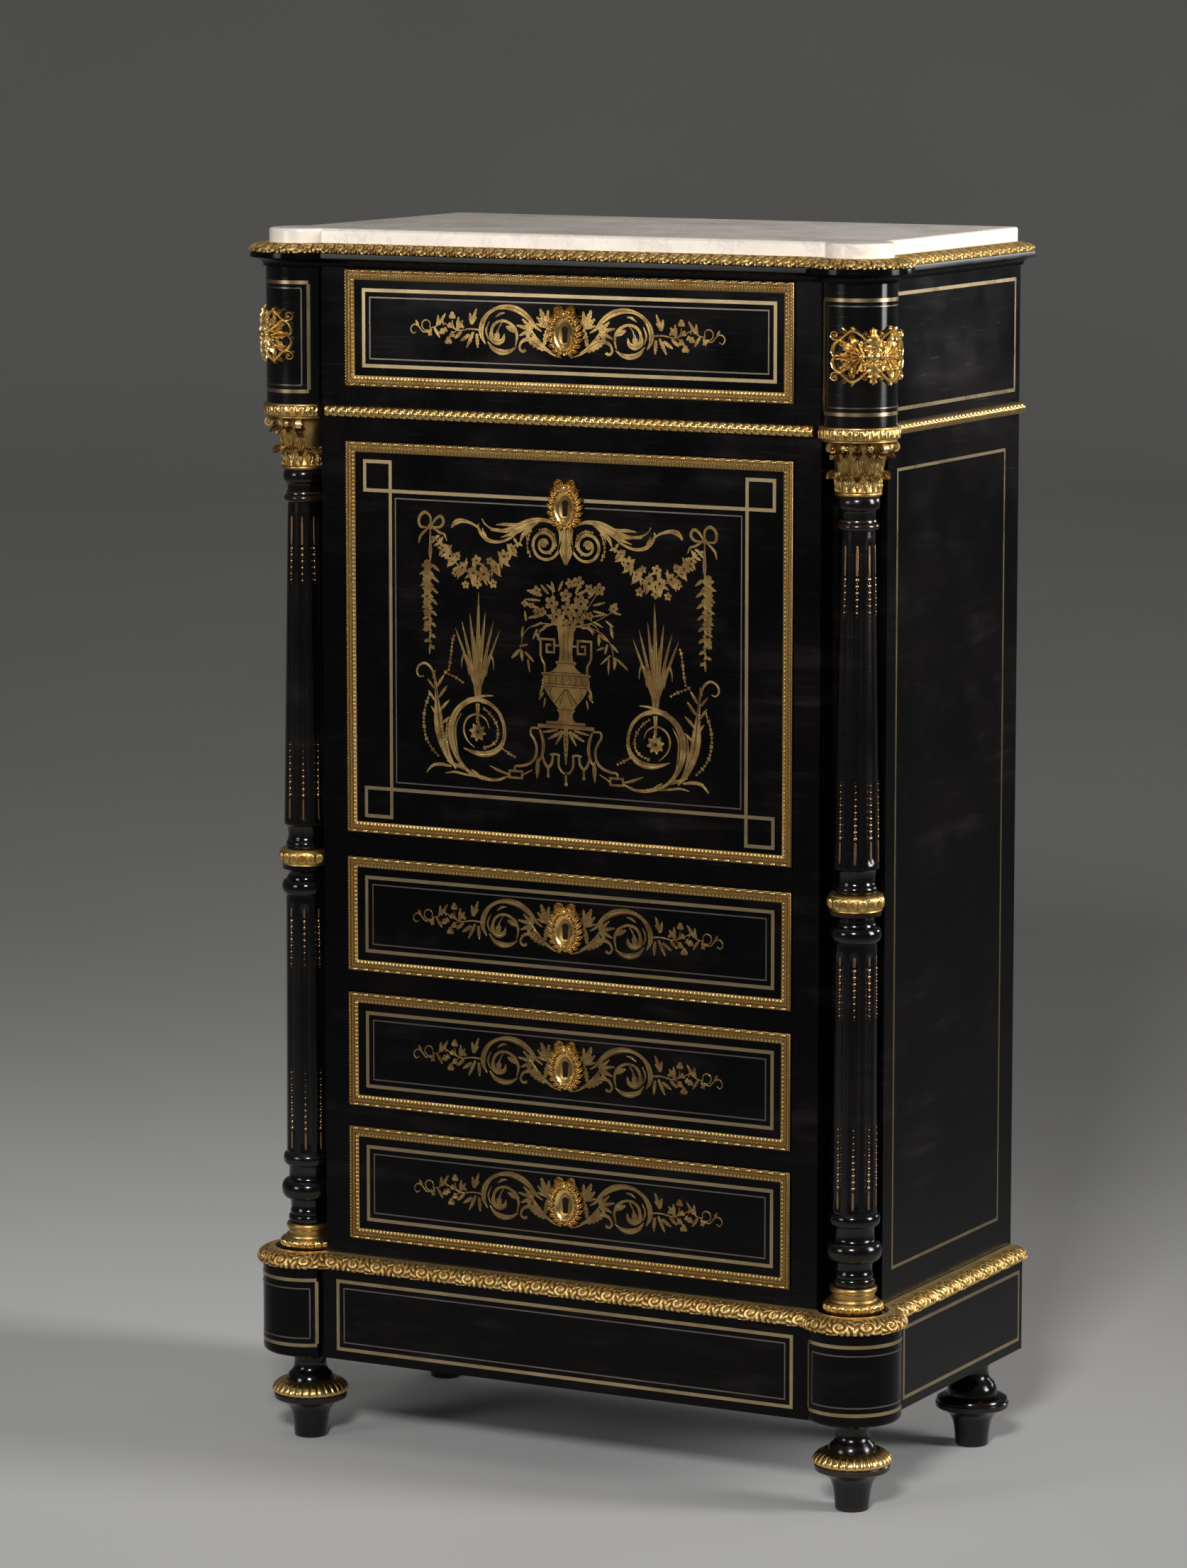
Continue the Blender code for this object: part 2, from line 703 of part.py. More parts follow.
# Cornice with its cove, the gilt gallery on it and the marble within the gallery
cove = [
    (
        COVE_START + (CORNICE_OUT - COVE_START) * (1 - cos(pi / 2 * i / 4)),
        CORNICE_Z + (COVE_TOP - CORNICE_Z) * sin(pi / 2 * i / 4),
    )
    for i in range(5)
]
slab(
    "cornice",
    BODY_HALF,
    0.0,
    FRIEZE_DRUM_R,
    cove + [(CORNICE_OUT, CORNICE_TOP)],
    BLACK,
)
band(
    "gallery_band",
    BODY_HALF,
    0.0,
    FRIEZE_DRUM_R,
    [
        (-MARBLE_INSET + GAP, CORNICE_TOP + GAP),
        (CORNICE_OUT, CORNICE_TOP + GAP),
        (GALLERY_OUT, CORNICE_TOP + GALLERY_H * 0.34),
        (GALLERY_OUT - GALLERY_LEDGE / 8, CORNICE_TOP + GALLERY_H * 0.65),
        (GALLERY_OUT - GALLERY_LEDGE / 2, CORNICE_TOP + GALLERY_H * 0.87),
        (GALLERY_OUT - GALLERY_LEDGE, GALLERY_TOP),
        (-MARBLE_INSET + GAP, GALLERY_TOP),
    ],
    GILT,
)
slab(
    "marble_top",
    BODY_HALF,
    0.0,
    FRIEZE_DRUM_R,
    [
        (-MARBLE_INSET, CORNICE_TOP + GAP),
        (-MARBLE_INSET, MARBLE_TOP - MARBLE_EASE),
        (-MARBLE_INSET - MARBLE_EASE, MARBLE_TOP),
    ],
    MARBLE,
)

# Open case of compartments behind the fall
case_low = FALL_Z
case_high = board_top - BOARD_T - GAP
case_half = FRONT_HALF - CASE_SIDE
case = box(
    "interior_case", -case_half, case_half, CASE_FRONT, BACK_Y - GAP, case_low, case_high, INNER
)
third = (2 * case_half - 4 * CASE_WALL) / 3
rows = (
    (case_low + CASE_WALL, CASE_SHELF_Z),
    (CASE_SHELF_Z + CASE_WALL, case_high - CASE_WALL),
)
for row, (low, high) in enumerate(rows):
    for column in range(3):
        start = -case_half + CASE_WALL + column * (third + CASE_WALL)
        cell = box(
            f"case_cut_{row}_{column}",
            start,
            start + third,
            CASE_FRONT - CASE_ROOM / 2,
            BACK_Y - GAP - CASE_WALL,
            low,
            high,
            None,
            helper=True,
        )
        boolean(case, cell, "DIFFERENCE")

# Drawers: front with its tray, gilt frame and keyhole plate
drawers = (
    ("lower", LOWER_Z, DRAWER_H),
    ("middle", MIDDLE_Z, DRAWER_H),
    ("upper", UPPER_Z, DRAWER_H),
    ("frieze", FRIEZE_Z, FRIEZE_DRAWER_H),
)
for name, low, tall in drawers:
    high = low + tall
    centre = (low + high) / 2
    origin = (0.0, 0.0, centre)
    drawer = box(
        "drawer_" + name, -FRONT_HALF, FRONT_HALF, 0.0, FRONT_T, low, high, BLACK, origin=origin
    )
    tray = box(
        "tray_" + name,
        -TRAY_HALF,
        TRAY_HALF,
        FRONT_T / 2,
        TRAY_END,
        low,
        high - TRAY_DROP,
        None,
        helper=True,
    )
    space = box(
        "tray_space_" + name,
        -TRAY_HALF + TRAY_WALL,
        TRAY_HALF - TRAY_WALL,
        FRONT_T,
        TRAY_END - TRAY_WALL,
        low + TRAY_FLOOR,
        high + TRAY_DROP,
        None,
        helper=True,
    )
    boolean(drawer, tray, "UNION")
    boolean(drawer, space, "DIFFERENCE")
    frame("drawer_frame_" + name, FRONT_HALF, low, high, GILT, origin)
    keyhole_plate("drawer_plate_" + name, centre + DRAWER_PLATE_LIFT, origin)

# Fall hinged along its lower front edge, with its gilt frame and keyhole plate
hinge = (0.0, 0.0, FALL_Z)
box("fall_board", -FRONT_HALF, FRONT_HALF, 0.0, FRONT_T, FALL_Z, FALL_TOP, BLACK, origin=hinge)
frame("fall_frame", FRONT_HALF, FALL_Z + FALL_LIP, FALL_TOP, GILT, hinge)
keyhole_plate("fall_plate", FALL_TOP - FALL_PLATE_DROP, hinge)
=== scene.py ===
"""Looks of an ebonised fall-front secretaire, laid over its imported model.

Lengths inside the functions are millimetres; x runs along the width, y back from the front plane of
the carcass and z up from the floor. Each operator makes one piece or one group of like pieces.
"""
from math import atan2, cos, pi, radians, sin, sqrt

import bmesh
import bpy
import numpy as np
from bpy.props import FloatProperty, FloatVectorProperty, PointerProperty
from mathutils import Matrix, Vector


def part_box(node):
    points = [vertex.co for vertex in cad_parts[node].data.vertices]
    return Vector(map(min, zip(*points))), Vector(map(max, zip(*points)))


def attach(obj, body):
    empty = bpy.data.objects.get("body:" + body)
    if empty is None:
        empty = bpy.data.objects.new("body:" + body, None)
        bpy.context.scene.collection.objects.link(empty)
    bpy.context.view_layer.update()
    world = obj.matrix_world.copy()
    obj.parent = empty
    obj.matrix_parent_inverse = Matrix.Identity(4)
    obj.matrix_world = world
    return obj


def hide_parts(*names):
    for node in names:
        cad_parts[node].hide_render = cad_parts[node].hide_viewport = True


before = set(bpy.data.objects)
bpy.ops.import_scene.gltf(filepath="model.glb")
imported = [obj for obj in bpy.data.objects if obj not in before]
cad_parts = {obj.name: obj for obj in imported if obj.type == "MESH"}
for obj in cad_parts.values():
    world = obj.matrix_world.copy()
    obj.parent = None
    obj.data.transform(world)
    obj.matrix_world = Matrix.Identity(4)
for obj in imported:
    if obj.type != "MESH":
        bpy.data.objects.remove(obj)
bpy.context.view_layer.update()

bl_info = {
    "name": "Secretaire looks",
    "version": (1, 0, 0),
    "blender": (4, 5, 0),
    "location": "View3D > Sidebar > Secretaire",
    "description": "Ebonised wood, gilt mounts, brass inlay and marble for a fall-front secretaire",
    "category": "Object",
}

MM = 0.001
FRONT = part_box("fall_board")[0].y / MM
DRAWERS = ("lower", "middle", "upper", "frieze")
SIDES = (("left", -1.0), ("right", 1.0))


def span(node):
    """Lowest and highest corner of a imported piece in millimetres, y counted from the front plane."""
    low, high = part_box(node)
    shift = Vector((0.0, FRONT, 0.0))
    return low / MM - shift, high / MM - shift


def middle(node):
    """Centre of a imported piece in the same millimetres."""
    low, high = span(node)
    return (low + high) / 2


def heights(node):
    """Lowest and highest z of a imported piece."""
    low, high = span(node)
    return low.z, high.z


AXIS_X = middle("column_upper_right").x
AXIS_Y = middle("column_upper_right").y
BODY_HALF = span("side_right")[1].x
BODY_BACK = span("side_right")[1].y
NOTCH_Y = span("side_right")[0].y
NOTCH_X = AXIS_X - (NOTCH_Y - AXIS_Y)
FRIEZE_R = span("frieze_drum_right")[1].x - AXIS_X
PLINTH_R = span("plinth_drum_right")[1].x - AXIS_X
PLINTH_HALF = span("plinth_frame")[1].x
PLINTH_FRONT = span("plinth_frame")[0].y
NOTCH_GAP = 0.4
LIFT_STEP, LIFT_COUNT = 0.003, 25
ENGRAVING_UNIT = 10.0


# Settings


class SecretaireFinish(bpy.types.PropertyGroup):
    """Colours and gloss of the materials."""

    black: FloatVectorProperty(
        name="Black", description="Ebonised polish", subtype="COLOR", min=0, max=1,
        default=(0.0018, 0.0017, 0.0018))
    worn: FloatVectorProperty(
        name="Worn black", description="Brown that shows where the polish is thin", subtype="COLOR",
        min=0, max=1, default=(0.014, 0.006, 0.0035))
    gilt: FloatVectorProperty(
        name="Gilt", description="Bright gilding on the bronze", subtype="COLOR", min=0, max=1,
        default=(0.97, 0.68, 0.25))
    gilt_dull: FloatVectorProperty(
        name="Dull gilt", description="Tarnished gilding", subtype="COLOR", min=0, max=1,
        default=(0.78, 0.45, 0.125))
    # Dark bronze patina in the hollows of the gilt, darkened further there as painted shade.
    gilt_patina_and_shade: FloatVectorProperty(
        name="Gilt recess", description="Dark bronze in the hollows", subtype="COLOR", min=0, max=1,
        default=(0.080, 0.036, 0.013))
    brass: FloatVectorProperty(
        name="Brass", description="Main inlaid strings", subtype="COLOR", min=0, max=1,
        default=(0.52, 0.39, 0.21))
    copper: FloatVectorProperty(
        name="Red brass", description="Strips and pearls in the flutes", subtype="COLOR", min=0, max=1,
        default=(0.50, 0.30, 0.16))
    pewter: FloatVectorProperty(
        name="Pewter", description="Fine inner strings", subtype="COLOR", min=0, max=1,
        default=(0.25, 0.21, 0.17))
    marquetry: FloatVectorProperty(
        name="Marquetry", description="Bright parts of the engraved brass", subtype="COLOR", min=0, max=1,
        default=(0.74, 0.49, 0.17))
    # Tarnish on the engraved brass, and painted shade towards the edges of each shape.
    marquetry_tarnish_and_shade: FloatVectorProperty(
        name="Browned marquetry", description="Tarnished parts of the engraved brass", subtype="COLOR",
        min=0, max=1, default=(0.25, 0.135, 0.045))
    engraved: FloatVectorProperty(
        name="Engraving", description="Black mastic in the engraved lines", subtype="COLOR", min=0,
        max=1, default=(0.020, 0.011, 0.006))
    marble: FloatVectorProperty(
        name="Marble", description="Ground of the marble", subtype="COLOR", min=0, max=1,
        default=(0.80, 0.725, 0.635))
    vein: FloatVectorProperty(
        name="Marble veins", description="Veins and clouds in the marble", subtype="COLOR", min=0,
        max=1, default=(0.50, 0.42, 0.37))
    inner_wood: FloatVectorProperty(
        name="Inner wood", description="Polished wood behind the fall", subtype="COLOR", min=0, max=1,
        default=(0.23, 0.085, 0.032))
    raw_wood: FloatVectorProperty(
        name="Plain wood", description="Unpolished wood of the back and the drawer trays",
        subtype="COLOR", min=0, max=1, default=(0.33, 0.20, 0.10))
    leather: FloatVectorProperty(
        name="Leather", description="Lining of the writing surface", subtype="COLOR", min=0, max=1,
        default=(0.055, 0.022, 0.012))
    black_rough: FloatProperty(
        name="Polish roughness", description="Roughness of the ebonised polish", min=0, max=1,
        default=0.13)
    gilt_rough: FloatProperty(
        name="Gilt roughness", description="Roughness of the gilding", min=0, max=1, default=0.23)


class SecretaireSizes(bpy.types.PropertyGroup):
    """Sizes of the inlay and of the ornament."""

    string: FloatProperty(
        name="String", description="Width of the main brass string", unit="LENGTH", default=0.0040)
    fine_string: FloatProperty(
        name="Fine string", description="Width of the inner pewter string", unit="LENGTH",
        default=0.0015)
    string_inset: FloatProperty(
        name="String inset", description="Main string in from the edge of a drawer front",
        unit="LENGTH", default=0.0232)
    string_space: FloatProperty(
        name="String space", description="Fine string inside the main one", unit="LENGTH",
        default=0.0080)
    inlay: FloatProperty(
        name="Inlay", description="Height of the inlay over the wood", unit="LENGTH", default=0.00022)
    pearl_pitch: FloatProperty(
        name="Pearl pitch", description="Spacing of the small pearls on the gilt frames",
        unit="LENGTH", default=0.0030)
    dash_pitch: FloatProperty(
        name="Dash pitch", description="Spacing of the long beads on the gilt frames", unit="LENGTH",
        default=0.0140)
    leaf_pitch: FloatProperty(
        name="Leaf pitch", description="Spacing of the leafy scrolls on the gallery band", unit="LENGTH",
        default=0.013)
    scroll_pitch: FloatProperty(
        name="Scroll pitch", description="Spacing of the scrolls on the plinth band", unit="LENGTH",
        default=0.0300)
    rope_pitch: FloatProperty(
        name="Torus leaf pitch", description="Spacing of the leaves on the gilt torus", unit="LENGTH",
        default=0.0100)


class SecretaireStage(bpy.types.PropertyGroup):
    """Floor, backdrop and light."""

    floor: FloatVectorProperty(
        name="Floor", description="Pale floor and backdrop", subtype="COLOR", min=0, max=1,
        default=(0.64, 0.636, 0.63))
    ambient: FloatProperty(
        name="Ambient", description="Strength of the even light", min=0, default=0.14)
    key: FloatProperty(
        name="Key light", description="Power of the large light on the right", unit="POWER",
        default=16.0)
    front: FloatProperty(
        name="Front light", description="Power of the small light in front", unit="POWER", default=19.0)
    fill: FloatProperty(
        name="Fill light", description="Power of the large light on the left", unit="POWER",
        default=7.0)
    back: FloatProperty(
        name="Back light", description="Power of the light behind on the right", unit="POWER", default=2.5)
    top: FloatProperty(
        name="Top light", description="Power of the light overhead", unit="POWER", default=3.0)


# Meshes


class Kit:
    """Points, faces and surface coordinates gathered for one piece."""

    def __init__(self):
        self.points = []
        self.faces = []
        self.coords = []
        self.count = 0
        self.drawn = 0

    def lift(self):
        """A hair of height, different from one inlaid shape to the next, so that no two tops coincide."""
        self.drawn += 1
        return LIFT_STEP * (self.drawn % LIFT_COUNT)

    def grid(self, points, round_u=False, round_v=False, caps=False, coords=None):
        """A sheet of points (u, v, 3) joined with quads; caps close the first and the last row."""
        rows, columns = points.shape[:2]
        index = np.arange(rows * columns).reshape(rows, columns) + self.count
        low = index if round_u else index[:-1]
        high = np.roll(index, -1, 0) if round_u else index[1:]
        if round_v:
            quads = np.stack([low, high, np.roll(high, -1, 1), np.roll(low, -1, 1)], -1)
        else:
            quads = np.stack([low[:, :-1], high[:, :-1], high[:, 1:], low[:, 1:]], -1)
        self.faces += quads.reshape(-1, 4).tolist()
        if caps:
            self.faces.append(index[0].tolist())
            self.faces.append(index[-1][::-1].tolist())
        self.points.append(points.reshape(-1, 3))
        if coords is None:
            coords = np.ones((rows, columns, 2))
        self.coords.append(coords.reshape(-1, 2))
        self.count += rows * columns

    def piece(self, name, body, material, slot, replaces=(), sharp=38.0, weld=False):
        """The gathered shapes as one object that rides on a body of the model."""
        points = np.concatenate(self.points) + np.array([0.0, FRONT, 0.0])
        mesh = bpy.data.meshes.new(name)
        mesh.from_pydata((points * MM).tolist(), [], self.faces)
        layer = mesh.uv_layers.new(name="surface")
        corner = np.zeros(len(mesh.loops), np.int32)
        mesh.loops.foreach_get("vertex_index", corner)
        layer.data.foreach_set("uv", np.concatenate(self.coords)[corner].astype(np.float32).ravel())
        work = bmesh.new()
        work.from_mesh(mesh)
        if weld:
            bmesh.ops.remove_doubles(work, verts=work.verts, dist=2e-6)
        bmesh.ops.recalc_face_normals(work, faces=work.faces)
        work.to_mesh(mesh)
        work.free()
        mesh.shade_smooth()
        mesh.set_sharp_from_angle(angle=radians(sharp))
        mesh.materials.append(material)
        obj = bpy.data.objects.new(name, mesh)
        bpy.context.scene.collection.objects.link(obj)
        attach(obj, body)
        if replaces:
            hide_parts(*replaces)
        return obj


def on_front(p, q, h):
    """Places drawing coordinates on the front plane: p across, q up, h out."""
    p, q, h = np.broadcast_arrays(p, q, h)
    return np.stack([p, -h, q], -1).astype(float)


def on_side(sign, face):
    """Places p towards the back, q up and h out on the left or right face."""

    def place(p, q, h):
        p, q, h = np.broadcast_arrays(p, q, h)
        return np.stack([sign * (face + h), p, q], -1).astype(float)

    return place


def on_drum(x, facing, radius, height=0.0):
    """Places p along the round, q up and h out on an upright cylinder, p = 0 at the facing angle."""

    def place(p, q, h):
        p, q, h = np.broadcast_arrays(p, q, h)
        angle = facing + p / radius
        r = radius + h
        return np.stack([x + r * np.cos(angle), AXIS_Y + r * np.sin(angle), q + height], -1).astype(float)

    return place


def corner_angle(sign):
    """Facing of a round corner, halfway between the front and the side."""
    return -pi / 4 if sign > 0 else -3 * pi / 4


def smooth_line(points, steps=24):
    """A smooth line through the points, evenly spaced."""
    points = np.array(points, float)
    if len(points) == 2:
        t = np.linspace(0, 1, steps)[:, None]
        return points[0] * (1 - t) + points[1] * t
    ends = np.vstack([2 * points[0] - points[1], points, 2 * points[-1] - points[-2]])
    t = np.linspace(0, 1, 12, endpoint=False)[:, None]
    runs = []
    for a, b, c, d in zip(ends, ends[1:], ends[2:], ends[3:]):
        runs.append(0.5 * (2 * b + (c - a) * t + (2 * a - 5 * b + 4 * c - d) * t**2
                           + (3 * b - a - 3 * c + d) * t**3))
    line = np.vstack(runs + [points[-1:]])
    run = np.concatenate([[0.0], np.cumsum(np.hypot(*np.diff(line, axis=0).T))])
    even = np.linspace(0, run[-1], steps)
    return np.stack([np.interp(even, run, line[:, k]) for k in (0, 1)], -1)


def spiral(x, z, start, end, first, last, steps=48):
    """A spiral about a point, from one radius and angle in degrees to another."""
    t = np.linspace(0, 1, steps)
    angle = np.radians(first + (last - first) * t)
    radius = start + (end - start) * t
    return np.stack([x + radius * np.cos(angle), z + radius * np.sin(angle)], -1)


FLAT = (np.array([-1.0, -1.0, 1.0, 1.0]), np.array([0.0, 1.0, 1.0, 0.0]))
DOMED = (np.array([-1.0, -0.8, -0.38, 0.0, 0.38, 0.8, 1.0]),
         np.array([0.0, 0.55, 0.92, 1.0, 0.92, 0.55, 0.0]))
FOLDED = (np.array([-1.0, -0.92, -0.45, 0.0, 0.45, 0.92, 1.0]),
          np.array([0.0, 0.75, 1.0, 0.55, 1.0, 0.75, 0.0]))
ROUNDED = (np.array([-1.0, -0.6, 0.0, 0.6, 1.0]), np.array([0.0, 0.8, 1.0, 0.8, 0.0]))


def stroke(kit, place, line, widths, high, section=FLAT, base=0.0, bright=1.0):
    """A ribbon along a line, its full widths spread evenly; bright below 1 paints cast metal darker, as
    painted shade.
    """
    line = np.asarray(line, float)
    steps = len(line)
    widths = np.asarray(widths, float) * np.ones(1)
    wide = np.interp(np.linspace(0, 1, steps), np.linspace(0, 1, len(widths)), widths) / 2
    run = np.gradient(line, axis=0)
    run /= np.maximum(np.hypot(run[:, 0], run[:, 1]), 1e-9)[:, None]
    across, up = section
    if section is FLAT:
        high = high + kit.lift()
    p = line[:, :1] - run[:, 1:] * wide[:, None] * across
    q = line[:, 1:] + run[:, :1] * wide[:, None] * across
    swell = np.minimum(1.0, wide / max(wide.max(), 1e-9) * 1.6)[:, None] if section is not FLAT else 1.0
    length = np.concatenate([[0.0], np.cumsum(np.hypot(*np.diff(line, axis=0).T))])
    # The second coordinate is the place across flat inlay, for the engraving, and the height in the relief of
    # cast metal, which the gilt paints as shade where it is low.
    tone = across * 0.5 + 0.5 if section is FLAT else up * bright
    coords = np.stack(np.broadcast_arrays(length[:, None] / ENGRAVING_UNIT, tone[None, :]), -1)
    kit.grid(place(p, q, base + high * up * swell), round_v=True, caps=True, coords=coords)


LEAF = (0.12, 0.62, 0.9, 1.0, 0.92, 0.72, 0.42, 0.08)
LOBED = (0.2, 0.75, 0.5, 0.95, 0.6, 1.0, 0.58, 0.8, 0.4, 0.5, 0.06)


def leaf(kit, place, x, z, turn, length, width, high, bend=0.0, shape=LEAF, section=FLAT, base=0.0):
    """One leaf from its stalk at a point, pointing along turn in degrees and bending sideways."""
    a = radians(turn)
    line = smooth_line(
        [(x, z),
         (x + cos(a) * length * 0.5 - sin(a) * bend * 0.4, z + sin(a) * length * 0.5 + cos(a) * bend * 0.4),
         (x + cos(a) * length - sin(a) * bend, z + sin(a) * length + cos(a) * bend)],
        len(shape) if len(shape) > 8 else 8)
    stroke(kit, place, line, [width * s for s in shape], high, section, base)


def disc(kit, place, x, z, reach, high, base=0.0, dome=False, sides=10, bright=1.0):
    """A dot or a pearl; reach is a radius or one radius for each side; bright below 1 paints cast metal
    darker, as painted shade.
    """
    angle = 2 * pi * np.arange(sides) / sides
    reach = np.asarray(reach, float) * np.ones(sides)
    steps = ((1.0, 0.0), (0.82, 0.62), (0.4, 1.0)) if dome else ((1.0, 0.0), (1.0, 1.0))
    if not dome:
        high = high + kit.lift()
    loops = [place(x + reach * s * np.cos(angle), z + reach * s * np.sin(angle), base + high * h)
             for s, h in steps]
    coords = np.stack(np.meshgrid(angle, [h * bright for _, h in steps]), -1)
    kit.grid(np.stack(loops), round_v=True, caps=True, coords=coords)


def flower(kit, place, x, z, radius, high, petals=5, turn=0.0, base=0.0, dome=False):
    """An open flower seen from the front."""
    sides = petals * 6
    angle = 2 * pi * np.arange(sides) / sides
    reach = radius * (0.5 + 0.5 * np.abs(np.cos(petals * (angle - radians(turn)) / 2)) ** 0.8)
    disc(kit, place, x, z, reach, high, base, dome, sides)


def patch(kit, place, outline, high):
    """A flat shape of any outline."""
    outline = np.asarray(outline, float)
    high = high + kit.lift()
    loops = np.stack([place(outline[:, 0], outline[:, 1], h) for h in (0.0, high)])
    coords = np.zeros((*loops.shape[:2], 2)) + (0.1, 0.9)
    kit.grid(loops, round_v=True, caps=True, coords=coords)


def frame_line(kit, place, p0, p1, q0, q1, width, high):
    """A mitred rectangle of string; the given lines run along its middle."""
    steps = ((-0.5, 0.0), (-0.5, 1.0), (0.5, 1.0), (0.5, 0.0))
    loops = []
    for side, level in steps:
        d = side * width
        loops.append(place(np.array([p0 - d, p1 + d, p1 + d, p0 - d]),
                           np.array([q0 - d, q0 - d, q1 + d, q1 + d]), level * high))
    kit.grid(np.stack(loops, 0), round_u=True, round_v=True)


def bar(kit, place, p0, p1, q0, q1, high):
    """A plain straight strip between two corners."""
    patch(kit, place, [(p0, q0), (p1, q0), (p1, q1), (p0, q1)], high)


def bulge(inner, outer, low, high, steps=9):
    """A half-round of a turned profile."""
    turn = np.linspace(0, pi, steps)
    return list(zip(inner + (outer - inner) * np.sin(turn),
                    (low + high) / 2 - (high - low) / 2 * np.cos(turn)))


def cove(first, last, low, high, steps=6):
    """A hollow of a turned profile, from one radius to another."""
    t = np.linspace(0, 1, steps)
    return list(zip(first + (last - first) * (1 - np.cos(t * pi / 2)),
                    low + (high - low) * np.sin(t * pi / 2)))


def turned(kit, x, y, profile, sides=96, wave=None, notch=0.0, floor=1.0):
    """A turned piece; wave(angle, height) adds to its radius, and notch keeps it out of the carcass.

    floor is how bright the gilt is painted where the wave is at its lowest, as painted shade: 0 for a hollow
    and 1 for a plain face.
    """
    profile = np.array(profile, float)
    angle = 2 * pi * np.arange(sides) / sides
    radius = profile[:, :1] * np.ones((1, sides))
    height = profile[:, 1:] * np.ones((1, sides))
    tone = np.ones_like(radius)
    if wave is not None:
        raised = wave(angle[None, :], height)
        radius = radius + raised
        tone = floor + (1 - floor) * (raised - raised.min()) / (raised.max() - raised.min())
    px = x + radius * np.cos(angle)
    py = y + radius * np.sin(angle)
    if notch:
        px = np.maximum(px * notch, NOTCH_X + NOTCH_GAP) * notch
        py = np.minimum(py, NOTCH_Y - NOTCH_GAP)
    kit.grid(np.stack([px, py, height], -1), round_v=True, caps=True, coords=np.stack([tone, tone], -1))


def lobed_path(half, front, radius, pitch):
    """Stations round the sides and front of a plan with round front corners: part, share and run."""

    def ends(off):
        side, line, r = half + off, front - off, radius + off
        start = atan2(sqrt(r * r - (side - AXIS_X) ** 2), side - AXIS_X)
        end = atan2(line - AXIS_Y, -sqrt(r * r - (line - AXIS_Y) ** 2))
        return side, line, r, start, end

    side, line, r, start, end = ends(0.0)
    lengths = [BODY_BACK - (AXIS_Y + r * sin(start)), r * (start - end), 2 * (AXIS_X + r * cos(end))]
    parts = []
    for part, length in enumerate([*lengths, lengths[1], lengths[0]]):
        count = max(3, int(length / pitch))
        for share in np.linspace(0, 1, count + 1)[(1 if part else 0):]:
            parts.append((part, share, length / count))
    run = np.cumsum([0.0] + [p[2] for p in parts[1:]])

    def place(off):
        """Plan points for an array of offsets, one row of offsets for each station."""
        result = np.zeros((*off.shape, 2))
        for i, (part, share, _) in enumerate(parts):
            for k in range(off.shape[1]):
                side, line, r, start, end = ends(off[i, k])
                t = share if part < 3 else 1 - share
                if part in (0, 4):
                    low = AXIS_Y + r * sin(start)
                    point = (side, BODY_BACK + (low - BODY_BACK) * t)
                elif part == 2:
                    reach = AXIS_X + r * cos(end)
                    point = (reach - 2 * reach * t, line)
                else:
                    angle = start + (end - start) * t
                    point = (AXIS_X + r * cos(angle), AXIS_Y + r * sin(angle))
                result[i, k] = point if part < 3 else (-point[0], point[1])
        return result

    return run, place


def moulding(kit, half, front, radius, profile, pitch=3.0, relief=None, lift=0.0):
    """A closed profile (offset, z) led round the sides and the front, with relief on its outer points."""
    run, place = lobed_path(half, front, radius, pitch)
    profile = np.array(profile, float)
    off = np.ones((len(run), 1)) * profile[:, 0]
    height = np.ones((len(run), 1)) * profile[:, 1]
    # The relief height goes into the coordinates; the gilt paints the low parts as shade.
    tone = np.ones_like(off)
    if relief is not None:
        mask, share = profile[:, 2], profile[:, 3]
        tone = relief(run[:, None], share[None, :])
        off = off + np.clip(tone, 0, 1.1) * mask * lift
        tone = tone * mask + (1 - mask)
    plan = place(off)
    kit.grid(np.concatenate([plan, height[..., None]], -1), round_v=True, caps=True,
             coords=np.stack([tone, tone], -1))


# Relief patterns: run along in millimetres, share from 0 at the lower edge to 1 at the upper


def soft(value):
    """A smooth step from 0 to 1."""
    value = np.clip(value, 0.0, 1.0)
    return value * value * (3 - 2 * value)


def scroll_row(pitch, height):
    """Running scrolls with leaves between them."""

    def relief(run, share):
        turn = np.where(np.floor(run / pitch) % 2 > 0, -1.0, 1.0)
        s = ((run / pitch) % 1.0 - 0.5) * pitch
        t = (share - 0.5) * height * turn
        far = np.hypot(s, t * 1.15)
        angle = np.arctan2(t, s)
        coil = soft(0.5 + 0.95 * np.cos(angle - far * 2 * pi / 6.0)) * soft((0.5 * height - far) / 1.6)
        petals = soft(0.5 + 0.9 * np.cos(5 * angle)) * soft((4.6 - far) / 1.2)
        spray = soft(0.45 + 0.9 * np.cos(9 * angle + far * 0.7)) * soft((far - 0.44 * height) / 1.5)
        return np.maximum(np.maximum(coil, petals), spray * 0.9)

    return relief


# Materials


def feed(tree, socket, value):
    """Joins a socket to another node's output, or gives it a plain value."""
    if isinstance(value, bpy.types.NodeSocket):
        tree.links.new(value, socket)
    else:
        socket.default_value = value


def node(tree, kind, links=None, **settings):
    """A shader node with its settings; links give each input a value or another node's output."""
    made = tree.nodes.new(kind)
    for key, value in settings.items():
        setattr(made, key, value)
    for key, value in (links or {}).items():
        feed(tree, made.inputs[key], value)
    return made


def object_place(tree):
    return node(tree, "ShaderNodeTexCoord").outputs["Object"]


def noise(tree, where, scale, detail, **more):
    return node(tree, "ShaderNodeTexNoise", {"Vector": where, "Scale": scale, "Detail": detail, **more})


def shade(colour, share):
    """A darker or lighter kind of a colour."""
    return tuple(share * c for c in colour)


